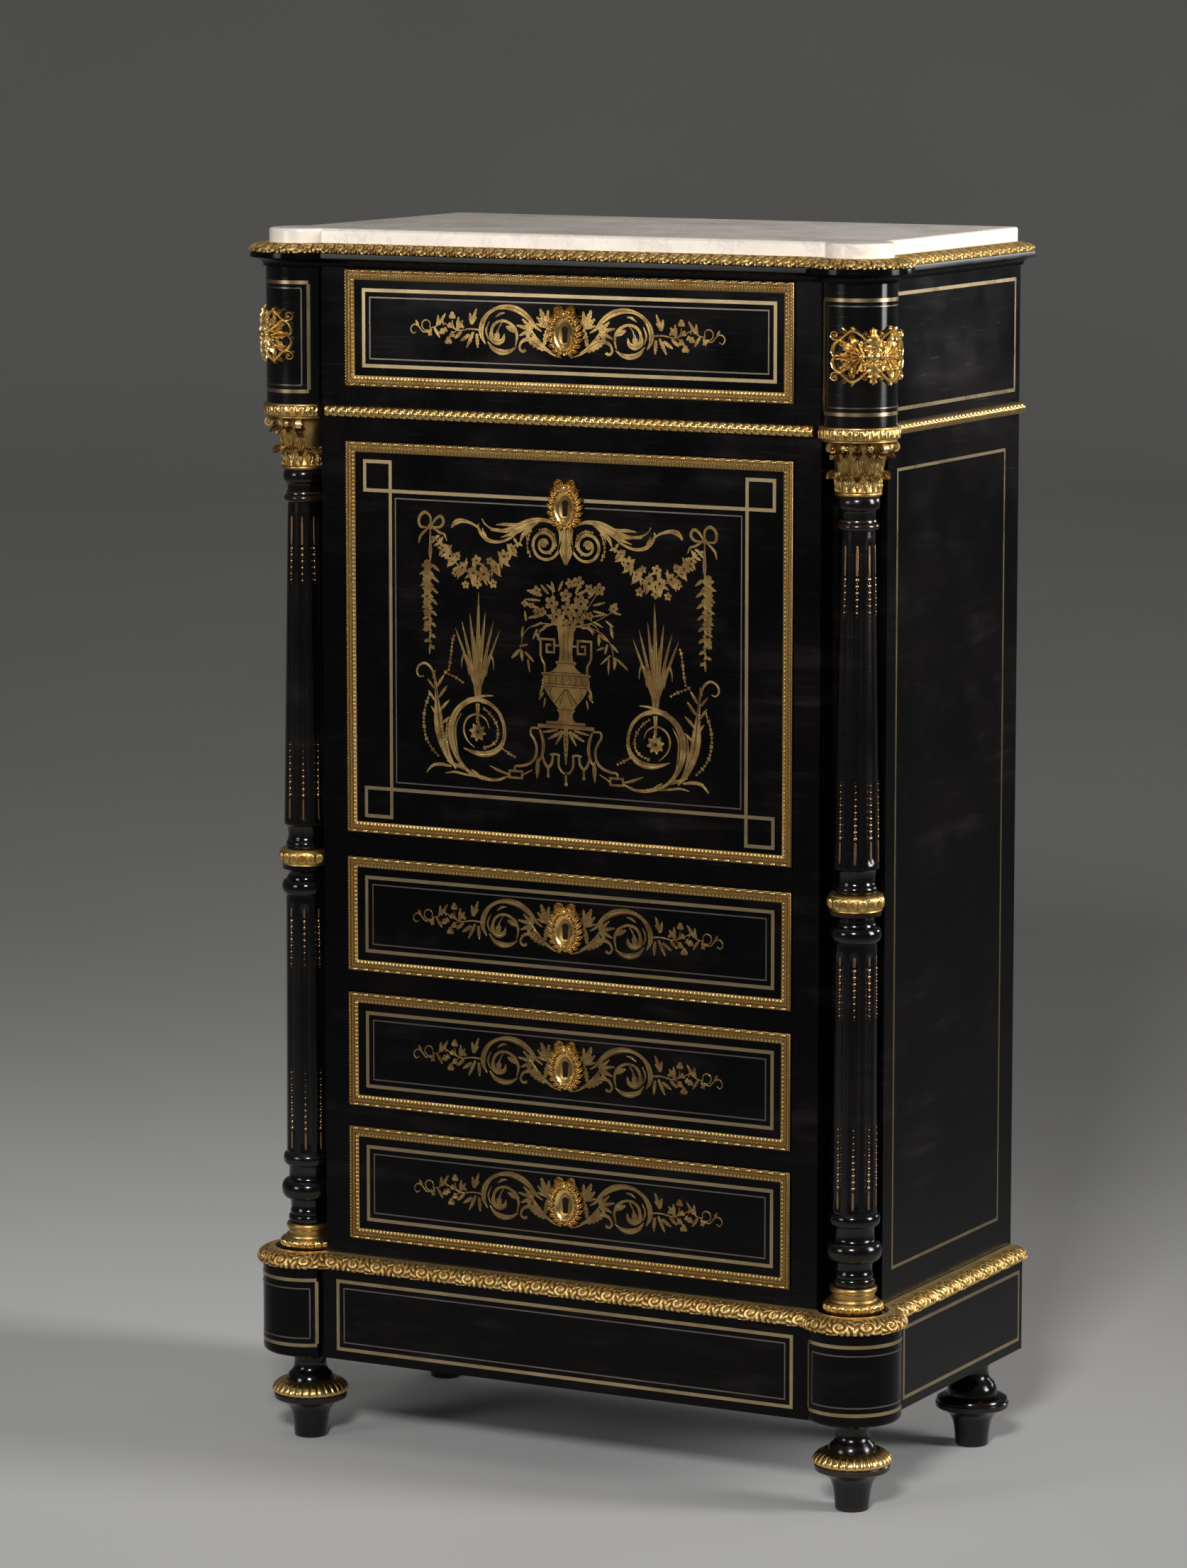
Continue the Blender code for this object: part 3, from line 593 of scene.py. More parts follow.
def mix(tree, share, first, second):
    """A blend of two colours."""
    made = node(tree, "ShaderNodeMix", data_type="RGBA")
    for key, value in ((0, share), (6, first), (7, second)):
        if key and not isinstance(value, bpy.types.NodeSocket):
            value = (*value[:3], 1.0)
        feed(tree, made.inputs[key], value)
    return made.outputs[2]


def sums(tree, operation, first, second=0.0, third=0.0):
    """One step of arithmetic."""
    made = node(tree, "ShaderNodeMath", operation=operation)
    for key, value in enumerate((first, second, third)):
        feed(tree, made.inputs[key], value)
    return made.outputs[0]


def times(tree, first, second):
    return sums(tree, "MULTIPLY", first, second)


def ramp(tree, value, low, high, first=0.0, last=1.0):
    """A value led from one range to another."""
    made = node(tree, "ShaderNodeMapRange", {"Value": value, "From Min": low, "From Max": high,
                                             "To Min": first, "To Max": last})
    return made.outputs["Result"]


def effect(name, inputs, outputs, build):
    """A shader node group that several materials share, built once."""
    tree = bpy.data.node_groups.get(name)
    if tree:
        return tree
    tree = bpy.data.node_groups.new(name, "ShaderNodeTree")
    for label, value in inputs:
        socket = tree.interface.new_socket(label, in_out="INPUT", socket_type="NodeSocketFloat")
        socket.default_value = value
    for label in outputs:
        tree.interface.new_socket(label, in_out="OUTPUT", socket_type="NodeSocketFloat")
    entry = tree.nodes.new("NodeGroupInput")
    leave = tree.nodes.new("NodeGroupOutput")
    for label, value in build(tree, entry.outputs).items():
        tree.links.new(value, leave.inputs[label])
    return tree


def use(tree, group, **values):
    """A shared group placed in a material with its own values."""
    made = node(tree, "ShaderNodeGroup")
    made.node_tree = group
    for key, value in values.items():
        made.inputs[key].default_value = value
    return made.outputs


def handling_marks():
    """Cloudy patches, fine scratches and specks left by use."""

    def build(tree, given):
        where = object_place(tree)
        cloud = noise(tree, where, given["Patches"], 4.0, Roughness=0.6)
        long = node(tree, "ShaderNodeMapping", {"Vector": where, "Scale": (6.0, 6.0, 140.0),
                                                "Rotation": (0.05, 0.08, 0.2)})
        lines = noise(tree, long.outputs[0], 3.0, 5.0)
        scratch = ramp(tree, lines.outputs["Fac"], 0.60, 0.72)
        dots = noise(tree, where, 900.0, 2.0)
        speck = ramp(tree, dots.outputs["Fac"], 0.66, 0.78)
        flat = node(tree, "ShaderNodeMapping", {"Vector": where, "Scale": (5.0, 5.0, 42.0)})
        wiped = noise(tree, flat.outputs[0], 1.0, 5.0, Roughness=0.62, Distortion=0.4)
        wipe = times(tree, ramp(tree, wiped.outputs["Fac"], 0.50, 0.72),
                     ramp(tree, cloud.outputs["Fac"], 0.45, 0.65))
        return {"Patches": cloud.outputs["Fac"], "Scratches": scratch, "Specks": speck, "Wipes": wipe}

    return effect("Handling marks", [("Patches", 9.0)], ("Patches", "Scratches", "Specks", "Wipes"), build)


def hollow_shade_and_edges():
    """A mask that is 1 in hollows and 0 on open faces, which the gilt paints as shade, and one that is 1 on
    sharp edges, which the gilt paints as a highlight and the black polish as wear.
    """

    def build(tree, given):
        shade = node(tree, "ShaderNodeAmbientOcclusion", {"Distance": given["Reach"]}, samples=6)
        hollow = ramp(tree, shade.outputs["AO"], 0.18, 0.72, 1.0, 0.0)
        point = node(tree, "ShaderNodeNewGeometry").outputs["Pointiness"]
        edge = ramp(tree, point, 0.52, 0.60)
        return {"Hollow": hollow, "Edge": edge}

    return effect("Recess tone", [("Reach", 0.004)], ("Hollow", "Edge"), build)


def engraving():
    """Cut lines along and across a shape, read from its own coordinates."""

    def build(tree, given):
        where = node(tree, "ShaderNodeTexCoord").outputs["UV"]
        split = node(tree, "ShaderNodeSeparateXYZ", {"Vector": where})
        across = sums(tree, "ABSOLUTE", sums(tree, "SUBTRACT", split.outputs["Y"], 0.5))
        vein = ramp(tree, across, 0.05, 0.11, 1.0, 0.0)
        slant = sums(tree, "ADD", times(tree, split.outputs["X"], given["Lines"]),
                     times(tree, across, 1.6))
        wave = sums(tree, "PINGPONG", slant, 0.5)
        hatch = ramp(tree, wave, 0.03, 0.10, 1.0, 0.0)
        open_part = ramp(tree, across, 0.12, 0.42, 0.0, 1.0)
        cut = sums(tree, "MAXIMUM", vein, times(tree, hatch, open_part))
        return {"Cut": times(tree, cut, given["Depth"])}

    return effect("Engraving", [("Lines", 3.0), ("Depth", 0.8)], ("Cut",), build)


def grain():
    """Long wood grain along one direction, with pores."""

    def build(tree, given):
        where = object_place(tree)
        stretch = node(tree, "ShaderNodeCombineXYZ", {"X": given["Along X"], "Y": given["Along Y"],
                                                      "Z": given["Along Z"]})
        scaled = node(tree, "ShaderNodeVectorMath", {0: where, 1: stretch.outputs[0]}, operation="MULTIPLY")
        bend = noise(tree, where, 6.0, 2.0)
        shift = node(tree, "ShaderNodeVectorMath", {0: scaled.outputs[0], 1: bend.outputs["Color"]},
                     operation="ADD")
        bands = noise(tree, shift.outputs[0], 1.0, 6.0, Roughness=0.65)
        fine = node(tree, "ShaderNodeVectorMath", {0: scaled.outputs[0], 1: (7.0, 7.0, 7.0)},
                    operation="MULTIPLY")
        pores = noise(tree, fine.outputs[0], 1.0, 3.0)
        return {"Bands": bands.outputs["Fac"], "Pores": ramp(tree, pores.outputs["Fac"], 0.58, 0.70)}

    return effect("Wood grain", [("Along X", 60.0), ("Along Y", 60.0), ("Along Z", 4.0)],
                  ("Bands", "Pores"), build)


def material(name, build):
    """A material by name, built the first time it is asked for."""
    made = bpy.data.materials.get(name)
    if made:
        return made
    made = bpy.data.materials.new(name)
    made.use_nodes = True
    tree = made.node_tree
    build(tree, tree.nodes["Principled BSDF"], bpy.context.scene.secretaire_finish)
    return made


def link(tree, shader, **values):
    """Feeds inputs of the shader, named with _ for a space."""
    for key, value in values.items():
        feed(tree, shader.inputs[key.replace("_", " ")], value)


def bump(tree, shader, height, distance, strength=1.0):
    made = node(tree, "ShaderNodeBump", {"Height": height, "Distance": distance, "Strength": strength})
    tree.links.new(made.outputs["Normal"], shader.inputs["Normal"])


def black_polish(tree, shader, finish, wear, shine):
    marks = use(tree, handling_marks(), Patches=7.0)
    lines = use(tree, grain())
    tone = mix(tree, ramp(tree, marks["Patches"], 0.42, 0.75, 0.0, 0.14), finish.black, finish.worn)
    tone = mix(tree, times(tree, lines["Pores"], 0.10), tone, finish.worn)
    # Dust specks, and a painted sheen: a pale grey film along the wipe marks stands in for a blurred
    # reflection.
    dust_and_painted_sheen = sums(tree, "ADD", times(tree, marks["Specks"], 0.03), times(tree, marks["Wipes"], 0.03))
    tone = mix(tree, dust_and_painted_sheen, tone, (0.30, 0.29, 0.28))
    if wear:
        hollows_and_edges = use(tree, hollow_shade_and_edges(), Reach=0.006)
        patchy = ramp(tree, marks["Patches"], 0.35, 0.65)
        edge = times(tree, times(tree, hollows_and_edges["Edge"], patchy), wear)
        tone = mix(tree, edge, tone, (0.13, 0.060, 0.030))
    rough = ramp(tree, marks["Patches"], 0.3, 0.8, finish.black_rough - 0.04, finish.black_rough + 0.14)
    rough = sums(tree, "ADD", rough, times(tree, marks["Scratches"], 0.10))
    link(tree, shader, Base_Color=tone, Roughness=rough)
    link(tree, shader, Specular_IOR_Level=shine)
    relief = sums(tree, "ADD", lines["Bands"], times(tree, marks["Scratches"], 0.25))
    bump(tree, shader, relief, 0.00004)


def ebony():
    return material("ebonised_panel", lambda t, s, f: black_polish(t, s, f, 0.0, 0.10))


def block_ebony():
    return material("ebonised_block", lambda t, s, f: black_polish(t, s, f, 0.0, 0.40))


def turned_ebony():
    return material("ebonised_turning", lambda t, s, f: black_polish(t, s, f, 0.75, 0.45))


def gilt(matte=False):
    """Gilt bronze: a painted highlight where it stands out, dark bronze patina and painted shade in the
    hollows; the matte kind is rougher.
    """

    def build(tree, shader, finish):
        base = finish.gilt_rough + (0.20 if matte else 0.0)
        marks = use(tree, handling_marks(), Patches=40.0)
        hollows_and_edges = use(tree, hollow_shade_and_edges(), Reach=0.006)
        where = node(tree, "ShaderNodeTexCoord")
        cast = node(tree, "ShaderNodeSeparateXYZ", {"Vector": where.outputs["UV"]}).outputs["Y"]
        # Painted shade, with some dark bronze patina: hollows found by occlusion and the low parts of the
        # relief go towards the recess colour.
        hollow = sums(tree, "MAXIMUM", hollows_and_edges["Hollow"],
                      ramp(tree, cast, 0.0, 0.85 if matte else 0.55, 1.0, 0.0))
        warm = mix(tree, ramp(tree, marks["Patches"], 0.35, 0.7), finish.gilt, finish.gilt_dull)
        tone = mix(tree, times(tree, hollow, 0.92), warm, finish.gilt_patina_and_shade)
        # Painted highlight: a pale gold on sharp edges where the relief is high.
        painted_highlight = times(tree, hollows_and_edges["Edge"], ramp(tree, cast, 0.7, 1.0, 0.0, 0.6))
        tone = mix(tree, painted_highlight, tone, (0.98, 0.82, 0.46))
        rough = ramp(tree, marks["Patches"], 0.3, 0.75, base - 0.06, base + 0.14)
        rough = sums(tree, "ADD", rough, times(tree, hollow, 0.2))
        chased = noise(tree, where.outputs["Object"], 800.0, 3.0)
        link(tree, shader, Base_Color=tone, Roughness=rough, Metallic=1.0)
        bump(tree, shader, chased.outputs["Fac"], 0.00010)

    return material("matte_gilt_casting" if matte else "gilt_casting", build)


def brass_tone(tree, shader, base):
    """Inlaid metal: rubbed, with tarnish in patches and specks of wax."""
    marks = use(tree, handling_marks(), Patches=22.0)
    tone = mix(tree, ramp(tree, marks["Patches"], 0.35, 0.72), base, shade(base, 0.62))
    tone = mix(tree, times(tree, marks["Specks"], 0.5), tone, shade(base, 0.3))
    link(tree, shader, Base_Color=tone, Metallic=1.0,
         Roughness=ramp(tree, marks["Patches"], 0.3, 0.75, 0.22, 0.38))
    return tone


def brass():
    return material("brass_string", lambda t, s, f: brass_tone(t, s, f.brass))


def pewter():
    return material("pewter_string", lambda t, s, f: brass_tone(t, s, f.pewter))


def copper():
    return material("red_brass_strip", lambda t, s, f: brass_tone(t, s, f.copper))


def engraved_brass(tree, shader, finish, base):
    """Engraved brass: tarnished in random patches, with painted shade towards the edges of each shape so that
    it is brightest along the middle.
    """
    tone = brass_tone(tree, shader, base)
    where = node(tree, "ShaderNodeTexCoord")
    across = node(tree, "ShaderNodeSeparateXYZ", {"Vector": where.outputs["UV"]}).outputs["Y"]
    side = sums(tree, "ABSOLUTE", sums(tree, "SUBTRACT", across, 0.5))
    cloud = noise(tree, where.outputs["Object"], 75.0, 3.0)
    # Random tarnish from the noise, and painted shade from the distance to the edge.
    tarnished_and_shaded = sums(tree, "ADD", ramp(tree, cloud.outputs["Fac"], 0.42, 0.66),
                 ramp(tree, side, 0.22, 0.5, 0.0, 0.35))
    tone = mix(tree, sums(tree, "MINIMUM", tarnished_and_shaded, 0.92), tone, finish.marquetry_tarnish_and_shade)
    cut = use(tree, engraving(), Lines=2.6, Depth=0.8)["Cut"]
    tone = mix(tree, cut, tone, finish.engraved)
    link(tree, shader, Base_Color=tone, Metallic=sums(tree, "SUBTRACT", 1.0, cut))
    bump(tree, shader, cut, -0.0001)


def marquetry():
    return material("brass_marquetry", lambda t, s, f: engraved_brass(t, s, f, f.marquetry))


# A darker copy of the engraved brass, as painted shade: used on the drawers below the frieze and on the urn,
# bouquet, reeds, stand, handle, bow and drop of the fall.
def browned_marquetry():
    return material("browned_marquetry", lambda t, s, f: engraved_brass(t, s, f, shade(f.marquetry, 0.6)))


# Black mastic in the engraved lines; the keyhole patch is made of it too, as painted shade where the opening
# would be.
def mastic():
    def build(tree, shader, finish):
        marks = use(tree, handling_marks(), Patches=60.0)
        tone = mix(tree, marks["Patches"], finish.engraved, (0.004, 0.003, 0.002))
        link(tree, shader, Base_Color=tone, Roughness=ramp(tree, marks["Patches"], 0.3, 0.7, 0.6, 0.8),
             Specular_IOR_Level=0.1)

    return material("dark_mastic", build)


def white_marble():
    def build(tree, shader, finish):
        where = object_place(tree)
        bend = noise(tree, where, 3.4, 7.0, Roughness=0.62)
        pushed = node(tree, "ShaderNodeVectorMath", {0: where, 1: bend.outputs["Color"]}, operation="ADD")
        veins = noise(tree, pushed.outputs[0], 5.5, 9.0, Roughness=0.58)
        line = sums(tree, "ABSOLUTE", sums(tree, "SUBTRACT", veins.outputs["Fac"], 0.5))
        thin = sums(tree, "POWER", ramp(tree, line, 0.0, 0.055, 1.0, 0.0), 2.0)
        cloud = ramp(tree, bend.outputs["Fac"], 0.42, 0.72, 0.0, 0.34)
        tone = mix(tree, cloud, finish.marble, (0.66, 0.58, 0.52))
        tone = mix(tree, times(tree, thin, 0.42), tone, finish.vein)
        marks = use(tree, handling_marks(), Patches=12.0)
        rough = ramp(tree, marks["Patches"], 0.3, 0.75, 0.16, 0.34)
        link(tree, shader, Base_Color=tone, Roughness=rough)
        bump(tree, shader, marks["Scratches"], 0.00003)

    return material("white_marble", build)


def wood(name, colour, rough, along):
    def build(tree, shader, finish):
        base = getattr(finish, colour)
        lines = use(tree, grain(), **along)
        marks = use(tree, handling_marks(), Patches=11.0)
        dark = shade(base, 0.45)
        pale = tuple(min(1.0, 1.35 * c) for c in base)
        tone = mix(tree, ramp(tree, lines["Bands"], 0.32, 0.68), dark, pale)
        tone = mix(tree, times(tree, lines["Pores"], 0.45), tone, shade(base, 0.25))
        tone = mix(tree, ramp(tree, marks["Patches"], 0.5, 0.9, 0.0, 0.35), tone, dark)
        link(tree, shader, Base_Color=tone,
             Roughness=ramp(tree, lines["Bands"], 0.3, 0.7, rough - 0.06, rough + 0.10))
        bump(tree, shader, lines["Pores"], -0.00012)

    return material(name, build)


GRAIN_X = {"Along X": 5.0, "Along Y": 60.0, "Along Z": 60.0}
GRAIN_Y = {"Along X": 60.0, "Along Y": 5.0, "Along Z": 60.0}
GRAIN_Z = {"Along X": 60.0, "Along Y": 60.0, "Along Z": 5.0}


def inner_wood():
    return wood("polished_inner_wood", "inner_wood", 0.30, GRAIN_X)


def raw_wood():
    return wood("plain_wood", "raw_wood", 0.62, GRAIN_Z)


def two_woods():
    """Drawer: black front, plain wood for the tray behind it."""

    def build(tree, shader, finish):
        black_polish(tree, shader, finish, 0.0, 0.10)
        black = shader.inputs["Base Color"].links[0].from_socket
        rough = shader.inputs["Roughness"].links[0].from_socket
        base = finish.raw_wood
        dark, pale = shade(base, 0.5), shade(base, 1.3)
        cross, lengthways = (mix(tree, ramp(tree, use(tree, grain(), **way)["Bands"], 0.32, 0.68), dark, pale)
                             for way in (GRAIN_X, GRAIN_Y))
        facing = node(tree, "ShaderNodeNewGeometry").outputs["Normal"]
        sideways = sums(tree, "ABSOLUTE", node(tree, "ShaderNodeSeparateXYZ",
                                               {"Vector": facing}).outputs["X"])
        plain = mix(tree, ramp(tree, sideways, 0.4, 0.6), cross, lengthways)
        where = object_place(tree)
        depth = node(tree, "ShaderNodeSeparateXYZ", {"Vector": where}).outputs["Y"]
        edge = (FRONT + span("fall_board")[1].y) * MM
        behind = ramp(tree, depth, edge - 0.0004, edge + 0.0001)
        link(tree, shader, Base_Color=mix(tree, behind, black, plain),
             Roughness=sums(tree, "ADD", rough, times(tree, behind, 0.36)))

    return material("drawer_woods", build)


def lining():
    def build(tree, shader, finish):
        where = object_place(tree)
        cells = node(tree, "ShaderNodeTexVoronoi", {"Vector": where, "Scale": 620.0},
                     feature="DISTANCE_TO_EDGE")
        marks = use(tree, handling_marks(), Patches=8.0)
        tone = mix(tree, ramp(tree, marks["Patches"], 0.35, 0.75), finish.leather, (0.12, 0.052, 0.028))
        crease = ramp(tree, cells.outputs["Distance"], 0.0, 0.12)
        tone = mix(tree, crease, (0.02, 0.008, 0.005), tone)
        link(tree, shader, Base_Color=tone, Roughness=ramp(tree, marks["Patches"], 0.3, 0.7, 0.42, 0.6))
        bump(tree, shader, crease, 0.00008)

    return material("tooled_leather", build)


def pale_ground():
    def build(tree, shader, finish):
        colour = bpy.context.scene.secretaire_stage.floor
        where = object_place(tree)
        cloud = noise(tree, where, 1.1, 3.0)
        tone = mix(tree, ramp(tree, cloud.outputs["Fac"], 0.3, 0.7), colour, shade(colour, 0.95))
        link(tree, shader, Base_Color=tone, Roughness=0.75, Specular_IOR_Level=0.2)

    return material("pale_ground", build)


def dress(nodes, finish):
    """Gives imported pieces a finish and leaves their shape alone."""
    for name in nodes:
        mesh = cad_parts[name].data
        mesh.materials.clear()
        mesh.materials.append(finish)


# Operators


class SECRETAIRE_OT_panels(bpy.types.Operator):
    """Finish the flat wood of the carcass, plinth, drawers, fall and inside"""

    bl_idname = "secretaire.panels"
    bl_label = "Flat wood"
    bl_options = {"REGISTER", "UNDO"}

    def execute(self, context):
        boards = ["board_bottom", "board_lower", "board_middle", "board_upper", "board_frieze"]
        flat = ["side_left", "side_right", "corner_post_left", "corner_post_right", "plinth_frame"]
        dress(boards + flat + ["fall_board"], ebony())
        dress(["back_panel"], raw_wood())
        dress(["interior_case"], inner_wood())
        dress([f"drawer_{d}" for d in DRAWERS], two_woods())
        return {"FINISHED"}


class SECRETAIRE_OT_columns(bpy.types.Operator):
    """Turn the black shafts with their flutes and inlaid strips"""

    bl_idname = "secretaire.columns"
    bl_label = "Column shafts"
    bl_options = {"REGISTER", "UNDO"}

    flutes = 8
    flute_depth = 1.9
    flute_half = 0.30
    flute_run_out = 5.0
    shaft_radius = 25.4
    lower_taper, upper_taper = 1.5, 6.2
    pearl_start, pearl_pitch = 4.2, 7.2
    pearl_radius, pearl_least, pearl_shrink = 2.3, 1.2, 0.14

    def groove(self, low, high):
        """Rounded flutes between two heights."""

        def wave(angle, height):
            off = np.abs((angle * self.flutes / (2 * pi)) % 1.0 - 0.5)
            across = np.sqrt(np.clip(1 - (off / self.flute_half) ** 2, 0, 1))
            reach = soft(np.minimum(height - low, high - height) / self.flute_run_out)
            return -self.flute_depth * across * reach

        return wave

    def strips(self, kit, x, radius, top, solid, chain, fade):
        """One solid strip and a chain of pearls in each flute; fade is the way the chain runs."""
        for k in range(self.flutes):
            facing = 2 * pi * (k + 0.5) / self.flutes
            place = on_drum(x, facing, radius(top) - 1.2)
            end = top + fade * solid
            slope = (radius(end + fade * chain) - radius(top)) / (solid + chain)

            def tapered(p, q, h, place=place, slope=slope):
                points = place(p, q, h)
                away = np.abs(points[..., 2] - top) * slope
                points[..., 0] += away * cos(facing)
                points[..., 1] += away * sin(facing)
                return points

            line = smooth_line([(0, top), (0, end)], 8)
            stroke(kit, tapered, line, (2.2, 3.2, 3.2, 3.2, 2.6), 0.9, DOMED)
            z = end + fade * self.pearl_start
            size = self.pearl_radius
            while abs(z - end) < chain:
                disc(kit, tapered, 0.0, z, size, 1.2, dome=True, sides=8)
                disc(kit, tapered, 0.0, z + fade * self.pearl_pitch / 2, size * 0.45, 0.8, dome=True, sides=6)
                z += fade * self.pearl_pitch
                size = max(self.pearl_least, size - self.pearl_shrink)

    def execute(self, context):
        for side, sign in SIDES:
            x = sign * AXIS_X
            low, high = heights("column_lower_" + side)
            shaft = low + 82.5
            profile = bulge(21.5, 23.8, low, low + 9.6) + cove(21.8, 20.8, low + 10.4, low + 16, 4)
            profile += [(21.0, low + 22), (22.3, low + 27.4)] + bulge(24.0, 31.5, low + 27.9, low + 50.8, 13)
            profile += [(23.6, low + 51.4), (22.9, low + 54), (22.9, low + 64), (24.4, low + 67.4)]
            profile += bulge(25.5, 29.2, low + 67.9, low + 82.1,
                             11) + [(25.6, shaft + 0.2), (25.4, shaft + 2)]
            profile += [(self.shaft_radius - self.lower_taper * t,
                         shaft + 3 + (high - 46 - shaft - 3) * t) for t in np.linspace(0, 1, 60)]
            profile += [(23.9, high - 40.5), (23.4,
                                              high - 35.5)] + bulge(23.5, 28.5, high - 34.3, high - 16.9, 11)
            profile += cove(23.0, 20.6, high - 16.5, high - 12, 4) + [(20.8, high - 8.7)]
            profile += cove(21.0, 28.0, high - 8.5, high - 4.4, 6) + [(28.0, high)]
            kit = Kit()
            turned(kit, x, AXIS_Y, profile, 128, self.groove(shaft + 4, high - 47))
            kit.piece("shaft_lower_" + side, "carcass", turned_ebony(), "ebonised_wood",
                      ["column_lower_" + side])
            strips = Kit()
            narrow = lambda z: self.shaft_radius - self.lower_taper * (z - shaft) / (high - 46 - shaft)
            self.strips(strips, x, narrow, shaft + 5.5, 20, 70, 1.0)
            self.strips(strips, x, narrow, high - 49.5, 10, 60, -1.0)
            low, high = heights("column_upper_" + side)
            base = low + 29.8
            top = high - 48
            profile = bulge(21.5, 23.5, low, low + 8.5, 9) + cove(21.6, 20.8, low + 9, low + 12, 3)
            profile += cove(21.0, 25.4, low + 14.5, low + 27.5, 6) + [(25.4, base)]
            profile += [(self.shaft_radius - self.upper_taper * t,
                         base + 3 + (top - base - 3) * t) for t in np.linspace(0, 1, 72)]
            profile += [(19.0, high - 43),
                        (18.8, high - 37.4)] + bulge(19.5, 23.1, high - 36.6, high - 28.2, 9)
            profile += cove(20.5, 19.0, high - 27.9, high - 24, 4) + [(19.2, high - 18)]
            profile += cove(19.3, 21.5, high - 17.6, high - 14.6, 4) + bulge(21.0, 23.8, high - 14.3, high, 9)
            kit = Kit()
            turned(kit, x, AXIS_Y, profile, 128, self.groove(base + 3, top - 2))
            kit.piece("shaft_upper_" + side, "carcass", turned_ebony(), "ebonised_wood",
                      ["column_upper_" + side])
            wide = lambda z: self.shaft_radius - self.upper_taper * (z - base) / (top - base)
            self.strips(strips, x, wide, base + 4.5, 24, 62, 1.0)
            self.strips(strips, x, wide, top - 5.0, 32, 46, -1.0)
            strips.piece("shaft_strips_" + side, "carcass", copper(), "gilt_bronze")
        return {"FINISHED"}


class SECRETAIRE_OT_blocks(bpy.types.Operator):
    """Round blocks of the plinth and frieze, cornice and feet"""

    bl_idname = "secretaire.blocks"
    bl_label = "Round blocks, cornice and feet"
    bl_options = {"REGISTER", "UNDO"}

    def execute(self, context):
        for side, sign in SIDES:
            x = sign * AXIS_X
            low, high = heights("frieze_drum_" + side)
            kit = Kit()
            turned(kit, x, AXIS_Y, [(FRIEZE_R, low), (FRIEZE_R, high)], 160, notch=sign)
            kit.piece("frieze_block_" + side, "carcass", block_ebony(), "ebonised_wood",
                      ["frieze_drum_" + side], weld=True)
            low, high = heights("plinth_drum_" + side)
            top = span("plinth_frame")[1].z
            profile = [(PLINTH_R - 6.0, low)]
            profile += [(PLINTH_R - 6.0 + 6.0 * sin(t),
                         low + 6.0 - 6.0 * cos(t)) for t in np.linspace(0.2, pi / 2, 7)]
            profile += [(PLINTH_R, top), (38.4, top), (38.4, high)]
            kit = Kit()
            turned(kit, x, AXIS_Y, profile, 160, notch=sign)
            kit.piece("plinth_block_" + side, "carcass", ebony(), "ebonised_wood", ["plinth_drum_" + side],
                      weld=True)
            for place in ("front", "rear"):
                name = f"foot_{place}_{side}"
                centre = middle(name)
                top = span(name)[1].z
                profile = [(17.3, 0.0), (18.4, 0.7), (19.0, 2.2), (19.8, 14.0), (21.2, 24.0), (23.2, 31.5),
                           (27.0, 37.6)]
                profile += [(33.0, 42.0), (40.0, 44.6), (41.8, 46.0), (42.3, 48.0), (42.3, 51.2),
                            (41.4, 52.6)]
                if place == "front":
                    profile += [(27.7, 52.7), (27.7, 66.0), (26.6, 69.5)]
                else:
                    profile += [(41.4, 53.4), (40.0, 56.4), (36.0, 58.6), (29.0, 60.2), (28.8, 61.2),
                                (28.6, 67.0), (27.4, 69.8)]
                profile += [(25.0, 75.0), (21.0, 78.6), (19.2, 83.0), (18.5, 89.5), (19.4, 94.0),
                            (21.6, 98.2)]
                profile += [(26.4, top - 1.6), (26.9, top)]
                kit = Kit()
                turned(kit, sign * abs(centre.x), centre.y, profile, 72)
                kit.piece(f"turned_foot_{place}_{side}", "carcass", turned_ebony(), "ebonised_wood", [name],
                          sharp=32)
        low, high = heights("cornice")
        profile = [(-30.0, low), (3.0, low)] + cove(3.0, 18.0, low + 0.2, low + 9.8, 8)
        profile += [(18.0, low + 10.6), (17.6, high - 0.6), (17.0, high), (-30.0, high)]
        kit = Kit()
        moulding(kit, BODY_HALF, 0.0, FRIEZE_R, profile, 2.5)
        run, place = lobed_path(BODY_HALF, 0.0, FRIEZE_R, 2.5)
        lid = place(np.full((len(run), 1), -29.5))[:, 0]
        kit.grid(np.stack([np.column_stack([lid, np.full(len(lid), z)]) for z in (low + 0.1, high - 0.1)]),
                 round_v=True, caps=True)
        kit.piece("cornice_moulding", "carcass", ebony(), "ebonised_wood", ["cornice"])
        return {"FINISHED"}


class SECRETAIRE_OT_marble(bpy.types.Operator):
    """Marble slab with its eased edge"""

    bl_idname = "secretaire.marble"
    bl_label = "Marble top"
    bl_options = {"REGISTER", "UNDO"}

    def execute(self, context):
        low, high = heights("marble_top")
        run, place = lobed_path(BODY_HALF, 0.0, FRIEZE_R, 2.5)
        steps = [(-4.0, low), (-4.0, high - 3.2)]
        steps += [(-4.0 - 3.0 * (1 - cos(t)), high - 3.2 + 3.2 * sin(t)) for t in np.linspace(0.3, pi / 2, 5)]
        loops = []
        for off, z in steps:
            plan = place(np.full((len(run), 1), off))[:, 0]
            loops.append(np.column_stack([plan, np.full(len(run), z)]))
        kit = Kit()
        kit.grid(np.stack(loops), round_v=True, caps=True)
        kit.piece("marble_slab", "carcass", white_marble(), "marble", ["marble_top"], sharp=50)
        return {"FINISHED"}


